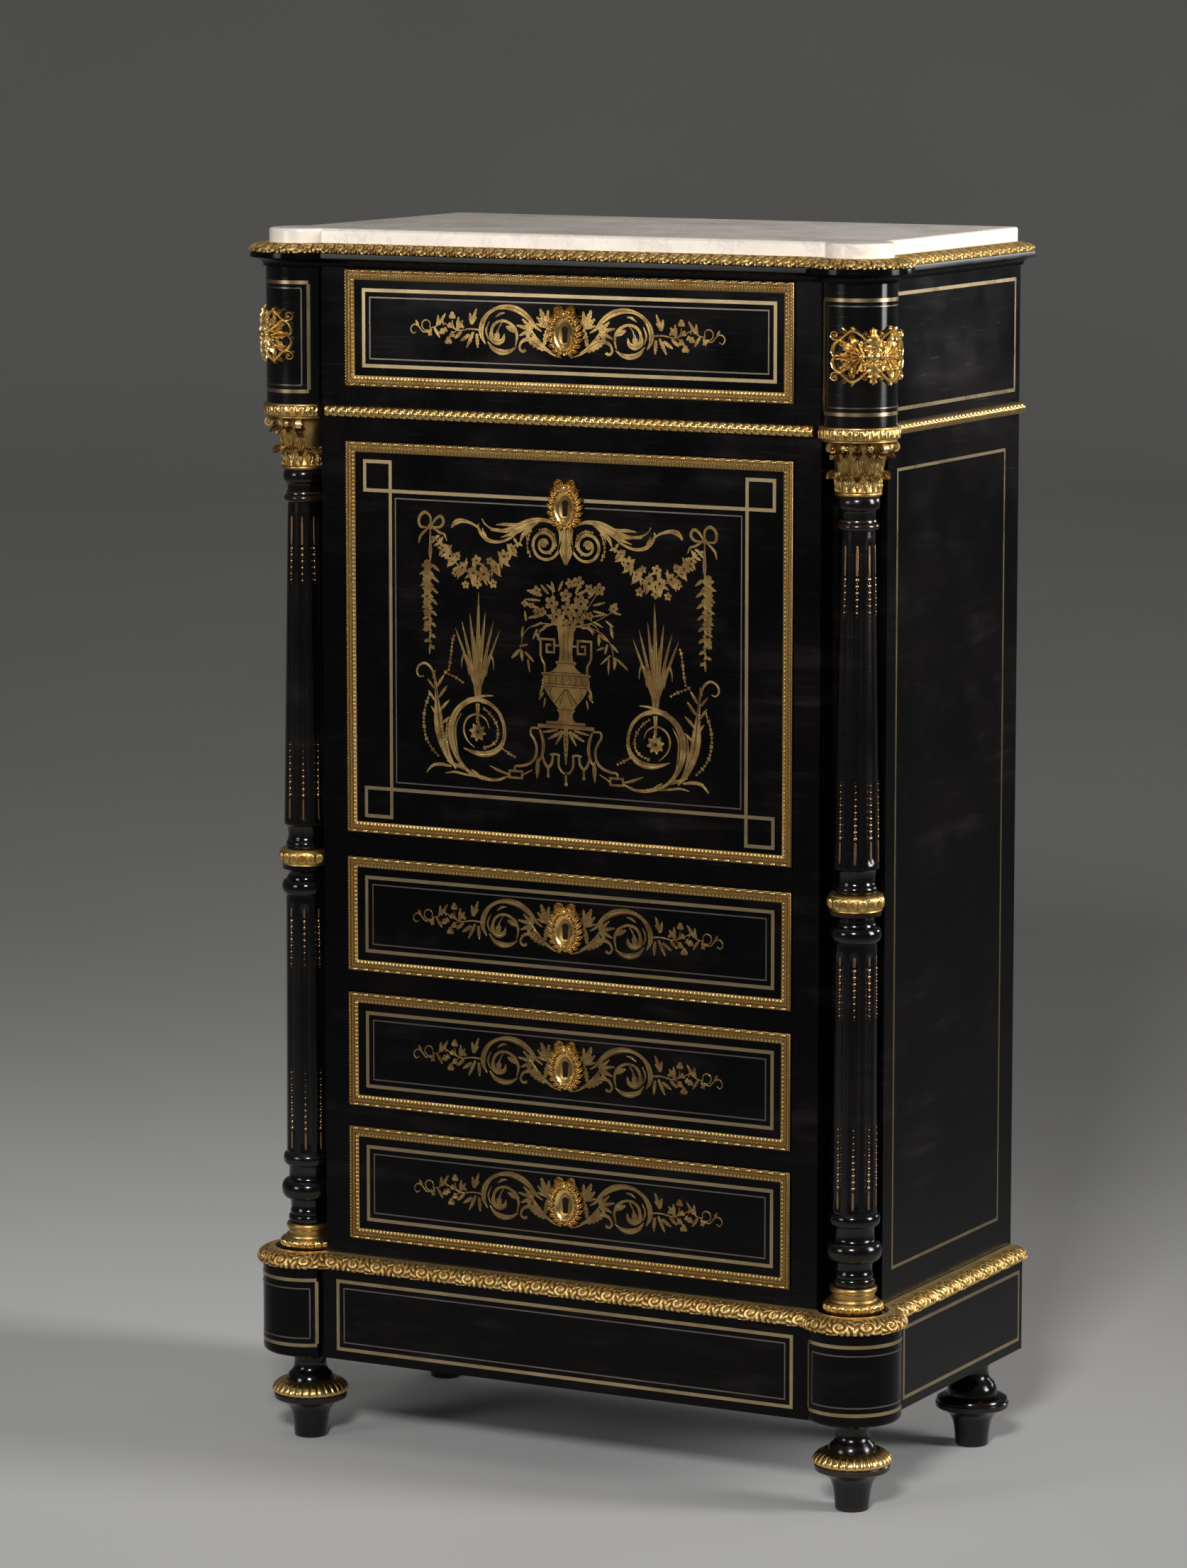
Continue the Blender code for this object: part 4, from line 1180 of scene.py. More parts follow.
class SECRETAIRE_OT_bands(bpy.types.Operator):
    """Cast gilt bands of the gallery and plinth, and the gilt torus under the frieze"""

    bl_idname = "secretaire.bands"
    bl_label = "Gilt bands"
    bl_options = {"REGISTER", "UNDO"}

    def execute(self, context):
        sizes = context.scene.secretaire_sizes
        low, high = heights("gallery_band")
        tall = high - low
        path = smooth_line([(15.6, 0.0), (17.0, 2.4), (15.8, 5.0), (11.6, 7.4), (6.5, 9.0), (1.5, tall)], 13)
        profile = [(o, low + z, 1.0, k / 12) for k, (o, z) in enumerate(path)]
        profile += [(-3.6, high, 0.0, 1.0), (-3.6, low, 0.0, 0.0)]
        kit = Kit()
        moulding(kit, BODY_HALF, 0.0, FRIEZE_R, profile, 0.8, scroll_row(sizes.leaf_pitch / MM, 13.0), 2.7)
        kit.piece("gallery_leafage", "carcass", gilt(True), "gilt_bronze", ["gallery_band"], sharp=60)
        low, high = heights("plinth_band")
        tall = high - low
        path = smooth_line([(3.0, 0.2), (4.6, 2.4), (4.4, 6.3), (2.2, 10.6), (-1.6, 13.6), (-6.0, 15.3)], 17)
        profile = [(o, low + z, 1.0, k / 16) for k, (o, z) in enumerate(path)]
        profile += [(-9.0, low + 16.4, 0.0, 1.0), (-14.2, high, 0.0, 1.0), (-14.2, low, 0.0, 0.0)]
        kit = Kit()
        relief = scroll_row(sizes.scroll_pitch / MM, tall + 4.0)
        moulding(kit, PLINTH_HALF, PLINTH_FRONT, PLINTH_R, profile, 1.0, relief, 2.1)
        kit.piece("plinth_scrollwork", "carcass", gilt(True), "gilt_bronze", ["plinth_band"], sharp=60)
        for name in ("front", "left", "right"):
            kit = Kit()
            self.torus(kit, name, sizes.rope_pitch / MM)
            kit.piece("torus_leaves_" + name, "carcass", gilt(), "gilt_bronze", ["frieze_torus_" + name],
                      sharp=60)
        return {"FINISHED"}

    def torus(self, kit, name, pitch):
        """A half-round of overlapping leaves, three rows along it."""
        low, high = span("frieze_torus_" + name)
        first, last = (low.x, high.x) if name == "front" else (low.y, high.y)
        run = np.linspace(first, last, int((last - first) / 0.8))[:, None]
        turn = np.linspace(0.0, pi, 17)[None, :]
        share = turn / pi
        tone = np.zeros((len(run), 17))
        for row, shift in ((0.22, 0.0), (0.48, 0.5), (0.74, 0.0)):
            s = (run / pitch + shift) % 1.0
            wide = 0.18 * np.sqrt(np.clip(1 - (2 * s - 1) ** 2, 0, 1))
            scale = soft((wide - np.abs(share - row)) / 0.06) * (0.12 + 0.88 * s)
            tone = np.maximum(tone, scale)
        reach = 0.78 + 0.22 * tone
        tall = (high.z - low.z) / 2
        out = (high.x - BODY_HALF if name == "right" else -low.y if name == "front" else -low.x - BODY_HALF)
        q = (low.z + high.z) / 2 - tall * np.cos(turn) * np.minimum(1.0, reach + 0.1)
        h = 0.4 + (out - 0.5) * np.sin(turn) * reach
        place = on_front if name == "front" else on_side(-1.0 if name == "left" else 1.0, BODY_HALF)
        # The scale tone also goes into the coordinates, and the gilt paints the low parts between the leaves
        # as shade.
        kit.grid(place(run, q, h), round_v=True, caps=True, coords=np.stack([tone, tone], -1))


class SECRETAIRE_OT_rings(bpy.types.Operator):
    """Gilt bases and collars of the columns, and the gilt rings of the feet"""

    bl_idname = "secretaire.rings"
    bl_label = "Gilt rings"
    bl_options = {"REGISTER", "UNDO"}

    def execute(self, context):
        for side, sign in SIDES:
            x = sign * AXIS_X
            low, high = heights("column_base_" + side)
            profile = [(28.0, low)] + bulge(28.6, 32.6, low + 0.2, low + 14.2, 15)
            profile += cove(27.0, 23.8, low + 14.6, low + 18.5, 5) + [(23.6, low + 21.5), (24.2, low + 23.2)]
            profile += bulge(24.0, 26.2, low + 23.6, high, 9)

            def leaves(angle, height, low=low):
                inside = soft((low + 13.4 - height) / 2.0) * soft((height - low - 0.8) / 2.0)
                s = np.abs((angle * 22 / (2 * pi)) % 1.0 - 0.5)
                t = np.clip((height - low) / 14.0, 0, 1)
                wide = 0.48 * np.sin(pi * np.clip(t * 0.85 + 0.1, 0, 1)) ** 0.6
                return inside * (1.1 * soft((wide - s) / 0.1) * (0.65 + 0.35 * np.cos(s * 38)) - 0.2)

            kit = Kit()
            turned(kit, x, AXIS_Y, profile, 264, leaves, floor=0.1)
            kit.piece("gilt_base_" + side, "carcass", gilt(), "gilt_bronze", ["column_base_" + side],
                      sharp=55)
            low, high = heights("column_collar_" + side)
            profile = [(28.0, low), (29.2, low + 0.8)] + bulge(29.0, 30.8, low + 2.2, high - 2.2, 17)
            profile += [(29.2, high - 0.8), (28.0, high)]

            def chased(angle, height, low=low, high=high):
                t = (height - low) / (high - low)
                inside = soft(np.minimum(t - 0.14, 0.86 - t) / 0.12)
                s = np.abs((angle * 18 / (2 * pi)) % 1.0 - 0.5)
                lens = soft((0.44 * np.sin(pi * np.clip(t, 0, 1)) - s) / 0.1)
                return inside * (0.75 * lens * (0.6 + 0.4 * np.cos(s * 44)) - 0.1)

            kit = Kit()
            turned(kit, x, AXIS_Y, profile, 252, chased, floor=0.2)
            kit.piece("gilt_collar_" + side, "carcass", gilt(), "gilt_bronze", ["column_collar_" + side],
                      sharp=55)
            low, high = heights("foot_ring_" + side)
            path = smooth_line([(42.0, 0.0), (43.6, 3.4), (41.5, 8.4), (36.5, 12.8), (30.5, 15.6)], 15)
            profile = [(28.6, low)] + [(r, low + z) for r, z in path] + [(28.6, high - 1.2)]

            def gadroons(angle, height, low=low, high=high):
                t = (height - low) / (high - low)
                inside = soft(t / 0.16) * soft((0.97 - t) / 0.16)
                s = np.abs((angle * 30 / (2 * pi)) % 1.0 - 0.5)
                lobe = np.sqrt(np.clip(1 - (s / 0.47) ** 2, 0, 1))
                cut = 0.35 * np.exp(-((s / 0.07) ** 2))
                return inside * (1.9 * lobe - cut - 1.0)

            kit = Kit()
            turned(kit, x, AXIS_Y, profile, 300, gadroons, floor=0.0)
            kit.piece("gilt_foot_ring_" + side, "carcass", gilt(), "gilt_bronze", ["foot_ring_" + side],
                      sharp=60)
        return {"FINISHED"}


class SECRETAIRE_OT_capitals(bpy.types.Operator):
    """Gilt capitals: bell, two rows of leaves, scrolls and a carved rim"""

    bl_idname = "secretaire.capitals"
    bl_label = "Capitals"
    bl_options = {"REGISTER", "UNDO"}

    # Leaves: height of the foot over the lower edge, length, width and radius of the curl
    low_leaf, low_bud = (5.4, 19.0, 17.0, 3.7), (5.4, 14.5, 9.0, 1.4)
    high_leaf, high_bud, front_leaf = (19.0, 27.0, 15.5, 3.4), (22.0, 24.0, 9.0, 1.6), (38.0, 20.0, 15.0, 4.0)
    volute_height, flower_height = 53.0, 54.0

    def acanthus(self, kit, x, facing, low, leaf_size, radius):
        """One leaf that follows the bell and rolls out at its tip."""
        foot, tall, wide, curl = leaf_size
        foot = low + foot
        rise = np.linspace(foot, foot + tall - curl, 15)
        roll = np.linspace(pi, -0.35, 10)[1:]
        start = radius(rise[-1]) + 0.9
        path = np.vstack([np.stack([radius(rise) + 0.9, rise], -1),
                          np.stack([start + curl + curl * np.cos(roll),
                                    foot + tall - curl + curl * np.sin(roll)], -1)])
        run = np.gradient(path, axis=0)
        run /= np.hypot(run[:, 0], run[:, 1])[:, None]
        t = np.linspace(0, 1, len(path))[:, None]
        s = np.linspace(-1, 1, 17)[None, :]
        shape = np.interp(t, (0, 0.2, 0.5, 0.75, 0.9, 1), (0.62, 0.8, 1, 0.86, 0.66, 0.34))
        shape = shape * (0.9 + 0.1 * np.cos(t * 9 * pi))
        rib = np.exp(-((s / 0.13) ** 2))
        veins = np.cos(2 * pi * (np.abs(s) * 2.3 - t * 1.7))
        relief = 1.0 * rib + 0.75 * veins * (1 - 0.4 * np.abs(s)) * (1 - rib) - 1.5 * s**2
        out = path[:, :1] + run[:, 1:] * relief
        height = path[:, 1:] - run[:, :1] * relief
        across = s * wide / 2 * shape
        # Painted shade: the leaf is darker in the low parts of its relief, towards its sides and towards its
        # foot, and its back sheet is darkest.
        tone = np.clip(0.62 + 0.34 * relief - 0.15 * np.abs(s), 0, 1) * np.clip(0.45 + t, 0, 1)
        sheets = []
        for depth in (0.0, 1.5):
            r = out - depth * run[:, 1:]
            angle = facing + across / path[:, :1]
            z = height + depth * run[:, :1]
            sheets.append(np.stack(np.broadcast_arrays(x + r * np.cos(angle), AXIS_Y + r * np.sin(angle), z),
                                   -1))
        ring = np.concatenate([sheets[0], sheets[1][:, ::-1]], 1)
        tone = np.concatenate([tone, 0 * tone], 1)
        kit.grid(ring, round_v=True, caps=True, coords=np.stack([tone, tone], -1))

    def volute(self, kit, x, facing, z):
        """A scroll that rolls outward in the upright plane of its facing."""

        def place(p, q, h):
            p, q, h = np.broadcast_arrays(p, q, h)
            return np.stack([x + p * cos(facing) - (h - 3.0) * sin(facing),
                             AXIS_Y + p * sin(facing) + (h - 3.0) * cos(facing), q], -1).astype(float)

        line = np.vstack([smooth_line([(29.0, z - 15.0), (31.0, z - 6.0), (34.4, z + 3.4)], 10)[:-1],
                          spiral(39.0, z, 5.6, 1.2, 150, -390, 34)])
        stroke(kit, place, line, (2.0, 2.4, 2.6, 2.2, 1.6), 6.0, FLAT)
        disc(kit, place, 39.0, z, 1.7, 7.0, -0.5, False, 10)

    def execute(self, context):
        for side, sign in SIDES:
            x = sign * AXIS_X
            low, high = heights("column_capital_" + side)
            rim = span("frieze_torus_front")[0].z
            bell = [(24.0, low), (25.2, low + 0.6)] + bulge(24.8, 25.8, low + 0.8, low + 4.6, 7)
            bell += [(23.9, low + 5.6), (24.2, low + 14), (25.2, low + 28), (26.8, low + 38),
                     (29.4, low + 47)]
            bell += [(33.5, low + 54), (37.6, low + 59), (40.4, rim - 2.4), (41.6, rim - 1.8),
                     (41.6, rim - 0.2)]
            plain = np.array(bell)
            radius = lambda z: np.interp(z, plain[:, 1], plain[:, 0])
            bell += [(43.0, rim + 0.2)] + [(44.0, z) for z in np.linspace(rim + 0.8, high - 2.4, 12)]
            bell += [(45.0, high - 2.0), (45.2, high - 0.8), (44.6, high)]

            def carved(angle, height, rim=rim, high=high):
                t = (height - rim) / (high - rim)
                inside = soft((t - 0.02) / 0.1) * soft((0.84 - t) / 0.08)
                s = np.abs((angle * 26 / (2 * pi)) % 1.0 - 0.5)
                lens = soft((0.47 * np.sin(pi * np.clip(t * 1.1, 0, 1)) ** 0.7 - s) / 0.14)
                heart = np.exp(-((s / 0.09) ** 2))
                dart = soft((s - 0.40) / 0.08) * soft((0.6 - t) / 0.2)
                return inside * (1.5 * np.maximum(lens * (1 - 0.6 * heart), 0.8 * dart))

            kit = Kit()
            turned(kit, x, AXIS_Y, bell, 312, carved, notch=sign, floor=0.22)
            kit.piece("capital_bell_" + side, "carcass", gilt(), "gilt_bronze", ["column_capital_" + side],
                      55, True)
            kit = Kit()
            front = -3 if sign > 0 else -5
            for k in range(-8, 8):
                facing = pi * k / 8
                free = sign * cos(facing) > -0.7 and sin(facing) < 0.7
                if k % 2 == 0:
                    self.acanthus(kit, x, facing, low, self.low_leaf, radius)
                    if free:
                        self.acanthus(kit, x, facing, low, self.high_bud, radius)
                    continue
                self.acanthus(kit, x, facing, low, self.low_bud, radius)
                if free:
                    self.acanthus(kit, x, facing, low, self.high_leaf, radius)
                if free and k != front:
                    self.volute(kit, x, facing, low + self.volute_height)
                if k == front:
                    self.acanthus(kit, x, facing, low, self.front_leaf, radius)
            for k in range(-8, 8, 2):
                facing = pi * k / 8
                if sign * cos(facing) > -0.5 and sin(facing) < 0.5:
                    place = on_drum(x, facing, 36.0)
                    flower(kit, place, 0.0, low + self.flower_height, 5.0, 4.6, 6, 20.0, dome=True)
            kit.piece("capital_leaves_" + side, "carcass", gilt(), "gilt_bronze", sharp=60)
        return {"FINISHED"}


class SECRETAIRE_OT_mounts(bpy.types.Operator):
    """Gilt leaf mounts on the round blocks of the frieze"""

    bl_idname = "secretaire.mounts"
    bl_label = "Frieze mounts"
    bl_options = {"REGISTER", "UNDO"}

    petal = (0.34, 0.62, 0.84, 1.0, 1.0, 0.92, 0.7, 0.3)

    def execute(self, context):
        for side, sign in SIDES:
            low, high = span("frieze_mount_" + side)
            facing = corner_angle(sign)
            self.place = on_drum(sign * AXIS_X, facing, FRIEZE_R + 0.2, (low.z + high.z) / 2)
            self.kit = Kit()
            for half in (-1.0, 1.0):
                self.shell(half)
                for up in (-1.0, 1.0):
                    self.scrolls(half, up)
                disc(self.kit, self.place, half * 7.6, 0.0, 1.7, 2.4, 5.6, True, 10)
            for up in (-1.0, 1.0):
                for turn, length, wide, high in ((46, 19, 10, 4.4), (-46, 19, 10, 4.4), (24, 25, 12, 5.8),
                                                 (-24, 25, 12, 5.8), (0, 30, 18, 7.4)):
                    self.frond(0.0, up, 90 * up + turn, length, wide, high)
            angle = 2 * pi * np.arange(20) / 20
            oval = 1 / np.hypot(np.cos(angle) / 5.2, np.sin(angle) / 4.0)
            # The wider, lower ring under the boss is painted darker, as shade.
            disc(self.kit, self.place, 0.0, 0.0, oval * 1.35, 1.4, 5.6, True, 20, 0.5)
            disc(self.kit, self.place, 0.0, 0.0, oval, 2.8, 6.4, True, 20)
            self.kit.piece("leaf_mount_" + side, "carcass", gilt(), "gilt_bronze", ["frieze_mount_" + side],
                           sharp=50)
        return {"FINISHED"}

    def frond(self, x, z, turn, length, wide, high, bend=0.0):
        leaf(self.kit, self.place, x, z, turn, length, wide, high, bend, LOBED, FOLDED)

    def shell(self, half):
        """Broad leaves that open outward from a ring of petals, held by a scroll like a C."""
        x = half * 12.0
        out = 0.0 if half > 0 else 180.0
        for turn, length, wide, high in ((98, 22, 12, 4.6), (62, 26, 14, 5.6), (31, 28, 14, 5.0),
                                         (0, 29, 14, 6.6)):
            for way in ((-1.0, 1.0) if turn else (1.0,)):
                self.frond(x, 0.0, out + way * turn, length, wide, high, way * 1.5)
        for turn in (-70, -47, -16, 16, 47, 70):
            leaf(self.kit, self.place, x, 0.0, out + turn, 17.0, 7.0, 7.8, shape=self.petal, section=FOLDED)
        disc(self.kit, self.place, x, 0.0, 3.4, 3.2, 5.6, True, 12)
        arc = smooth_line([(half * p, q) for p, q in ((27, 14), (33.5, 17), (40, 13.5), (43.2, 5),
                                                      (40.5, -0.5), (43.2, -6), (40, -14), (33.5, -17),
                                                      (27, -14))], 44)
        stroke(self.kit, self.place, arc, (2.0, 4.2, 4.8, 4.6, 3.0, 4.6, 4.8, 4.2, 2.0), 6.6, DOMED)

    def scrolls(self, half, up):
        """The long S of one corner, its curl and the leaves that grow from it."""
        line = smooth_line([(half * p, up * q) for p,
                            q in ((4.6, 14.5), (9.2, 19), (15.6, 25), (22, 27.4), (28.4, 22.6), (34, 17.8),
                                  (39.8, 17.4))], 30)
        stroke(self.kit, self.place, line, (2.4, 3.6, 4.6, 4.8, 4.2, 3.8, 3.2), 6.6, DOMED)
        first = -90.0 * up
        curl = spiral(half * 40.0, up * 22.6, 5.2, 1.0, first, first + half * up * 430, 28)
        stroke(self.kit, self.place, curl, (3.2, 3.2, 2.6, 2.0), 5.8, DOMED)
        disc(self.kit, self.place, half * 40.0, up * 22.6, 1.7, 6.4, 0.0, True, 10)
        for x, z, turn, length in ((19, 24, 64, 9.0), (26, 24, 40, 9.0), (34, 18, 8, 10.0),
                                   (29, 21, -48, 12.0), (21, 25, -70, 11.0), (11, 20, 122, 8.0)):
            self.frond(half * x, up * z, (turn if half > 0 else 180 - turn) * up, length, 6.4, 5.2)


class SECRETAIRE_OT_frames(bpy.types.Operator):
    """Gilt frames round the drawers and the fall, with their rows of pearls"""

    bl_idname = "secretaire.frames"
    bl_label = "Gilt frames"
    bl_options = {"REGISTER", "UNDO"}

    edge_pitch, tongue_pitch = 3.5, 4.6

    def execute(self, context):
        sizes = context.scene.secretaire_sizes
        fronts = [(f"drawer_frame_{d}", f"drawer_{d}") for d in DRAWERS] + [("fall_frame", "fall")]
        for name, body in fronts:
            low, high = span(name)
            kit = Kit()
            self.border(kit, low.x, high.x, low.z, high.z, sizes)
            kit.piece("pearled_" + name, body, gilt(), "gilt_bronze", [name], sharp=45)
        return {"FINISHED"}

    def border(self, kit, left, right, low, high, sizes):
        """The mitred moulding of one frame with its beads, pearls and tongues."""
        profile = [(0.0, 0.35), (0.0, 2.5), (0.5, 2.9), (3.3, 2.9), (3.8, 1.9), (4.3, 1.9), (4.6, 2.4),
                   (7.2, 2.4), (7.6, 1.6), (8.2, 1.6), (8.7, 2.2), (11.0, 1.8), (12.0, 1.3), (12.0, 0.35)]
        loops = []
        for inset, level in profile:
            loops.append(on_front(np.array([left + inset, right - inset, right - inset, left + inset]),
                                  np.array([low + inset, low + inset, high - inset, high - inset]), level))
        # The ground of the moulding has a low tone, which the gilt paints as shade between the pearls.
        kit.grid(np.stack(loops), round_u=True, round_v=True, coords=np.full((len(profile), 4, 2), 0.1))
        pitch = sizes.pearl_pitch / MM
        dash = sizes.dash_pitch / MM
        rows = ((1.9, "edge", dash, self.edge_pitch), (5.9, "pearl", pitch, pitch),
                (9.9, "tongue", self.tongue_pitch, self.tongue_pitch))
        # The small beads, pearls and tongues have bright below 1 and are painted darker as shade; the long
        # beads are not.
        for inset, row, level, upright in rows:
            for end, sense in ((low + inset, 1.0), (high - inset, -1.0)):
                for x in self.spread(left + inset, right - inset, level):
                    if row == "edge":
                        line = [(x - 3.9, end), (x - 3.0, end), (x, end), (x + 3.0, end), (x + 3.9, end)]
                        stroke(kit, on_front, line, (1.4, 2.9, 3.4, 2.9, 1.4), 2.1, DOMED, 2.8)
                        for away in (-5.9, 5.9):
                            disc(kit, on_front, x + away, end, 1.1, 1.1, 2.8, True, 6, 0.6)
                    elif row == "pearl":
                        disc(kit, on_front, x, end, 1.15, 1.5, 2.2, True, 6, 0.8)
                    else:
                        self.tongue(kit, x, end, 0.0, sense)
            for end, sense in ((left + inset, 1.0), (right - inset, -1.0)):
                for z in self.spread(low + inset, high - inset, upright):
                    if row == "edge":
                        disc(kit, on_front, end, z, 1.35, 1.7, 2.8, True, 7, 0.9)
                    elif row == "pearl":
                        disc(kit, on_front, end, z, 1.15, 1.5, 2.2, True, 6, 0.8)
                    else:
                        self.tongue(kit, end, z, sense, 0.0)

    def spread(self, first, last, pitch):
        """Even places between two ends at about the pitch."""
        count = max(1, round((last - first) / pitch))
        return [first + (last - first) * (k + 0.5) / count for k in range(count)]

    def tongue(self, kit, x, z, px, pz):
        line = [(x - 1.5 * px, z - 1.5 * pz), (x, z), (x + 1.4 * px, z + 1.4 * pz)]
        stroke(kit, on_front, line, (3.4, 3.2, 1.0), 0.9, ROUNDED, 1.6, 0.5)


class SECRETAIRE_OT_plates(bpy.types.Operator):
    """Keyhole plates with their laurel, rim and bow"""

    bl_idname = "secretaire.plates"
    bl_label = "Keyhole plates"
    bl_options = {"REGISTER", "UNDO"}

    def execute(self, context):
        fronts = [(f"drawer_plate_{d}", f"drawer_{d}") for d in DRAWERS] + [("fall_plate", "fall")]
        for name, body in fronts:
            centre = middle(name)
            self.plate(name, body, centre.z - 3.0)
        return {"FINISHED"}

    def plate(self, name, body, z):
        """One plate: ground, rim, laurel, bow, ribbons, leaves, and the keyhole as a dark patch of painted
        shade.
        """
        kit = Kit()
        turn = np.linspace(0, 2 * pi, 45)
        oval = lambda a, b: np.stack([a * np.cos(turn), z + b * np.sin(turn)], -1)
        # Painted shade: the ground, the foot and inner steps of the rim, and a little on the berries, bow and
        # ribbons, through low tones that the gilt paints dark.
        ground = oval(18.5, 22.0)[:-1]
        kit.grid(np.stack([on_front(*ground.T, h) for h in (0.3, 1.7)]), round_v=True, caps=True,
                 coords=np.full((2, len(ground), 2), 0.05))
        rim = ((13.4, 18.8, 1.6, 0.2), (12.8, 18.2, 4.8, 0.8), (11.6, 17.0, 6.0, 1.0), (10.2, 15.6, 5.4, 0.9),
               (8.8, 14.0, 4.2, 0.6), (7.6, 12.8, 2.8, 0.15), (6.8, 12.0, 2.2, 0.18))
        kit.grid(np.stack([on_front(*oval(a, b)[:-1].T, h) for a, b, h, v in rim]), round_v=True, caps=True,
                 coords=np.stack([np.full((44, 2), v) for a, b, h, v in rim]))
        for half in (-1.0, 1.0):
            for k in range(9):
                angle = radians(-78 + 146 * k / 8)
                a, b = half * 16.6 * cos(angle), 21.2 * sin(angle)
                along = np.degrees(atan2(21.2 * cos(angle), -half * 16.6 * sin(angle)))
                for lean, size in ((42, 8.6), (-34, 7.0)):
                    leaf(kit, on_front, a, z + b, along - half * lean, size, 5.4, 3.8, section=FOLDED,
                         base=1.4)
                disc(kit, on_front, a + half * 0.4, z + b, 1.9, 2.6, 3.0, True, 8, 0.8)
            bow = ((1.0, 24.0), (4.0, 28.6), (8.5, 29.8), (11.6, 27.4), (9.6, 24.4), (1.5, 23.0))
            loop = smooth_line([(half * p, z + q) for p, q in bow], 24)
            stroke(kit, on_front, loop, (1.8, 3.2, 4.0, 3.8, 2.8, 1.8), 3.8, FOLDED, 1.5, 0.8)
            ribbon = ((3.0, 23.0), (11.0, 22.4), (15.5, 19.6), (19.2, 20.4))
            tail = smooth_line([(half * p, z + q) for p, q in ribbon], 18)
            stroke(kit, on_front, tail, (2.2, 3.2, 3.0, 1.4), 3.2, FOLDED, 1.2, 0.8)
            for lean, size in ((62, 13.0), (26, 9.0)):
                leaf(kit, on_front, half * 1.0, z - 22.0, 90 - half * lean, size, 5.0, 3.4, half * 2.0, LOBED,
                     FOLDED, 1.4)
        for turn, length in ((158, 15.0), (22, 15.0), (132, 13.5), (48, 13.5), (108, 11.0), (72, 11.0)):
            leaf(kit, on_front, 0.0, z + 18.5, turn, length, 7.0, 4.6, 0.0, LOBED, FOLDED, 1.6)
        disc(kit, on_front, 0.0, z + 22.0, 3.2, 4.0, 3.2, True, 10)
        disc(kit, on_front, 0.0, z - 22.4, 2.6, 3.6, 1.0, True, 10)
        kit.piece("laurel_" + name, body, gilt(), "gilt_bronze", [name], sharp=50)
        # Painted shade: the keyhole is a flat dark patch laid on the plate where the opening would be.
        hole = Kit()
        angle = np.linspace(-0.6, pi + 0.6, 16)
        outline = np.vstack([np.stack([4.1 * np.cos(angle), z + 4.6 + 4.1 * np.sin(angle)], -1),
                             [(-2.9, z - 9.0), (0.0, z - 9.8), (2.9, z - 9.0)]])
        patch(hole, on_front, outline, 2.5)
        hole.piece("keyhole_" + name, body, mastic(), "ebonised_wood")


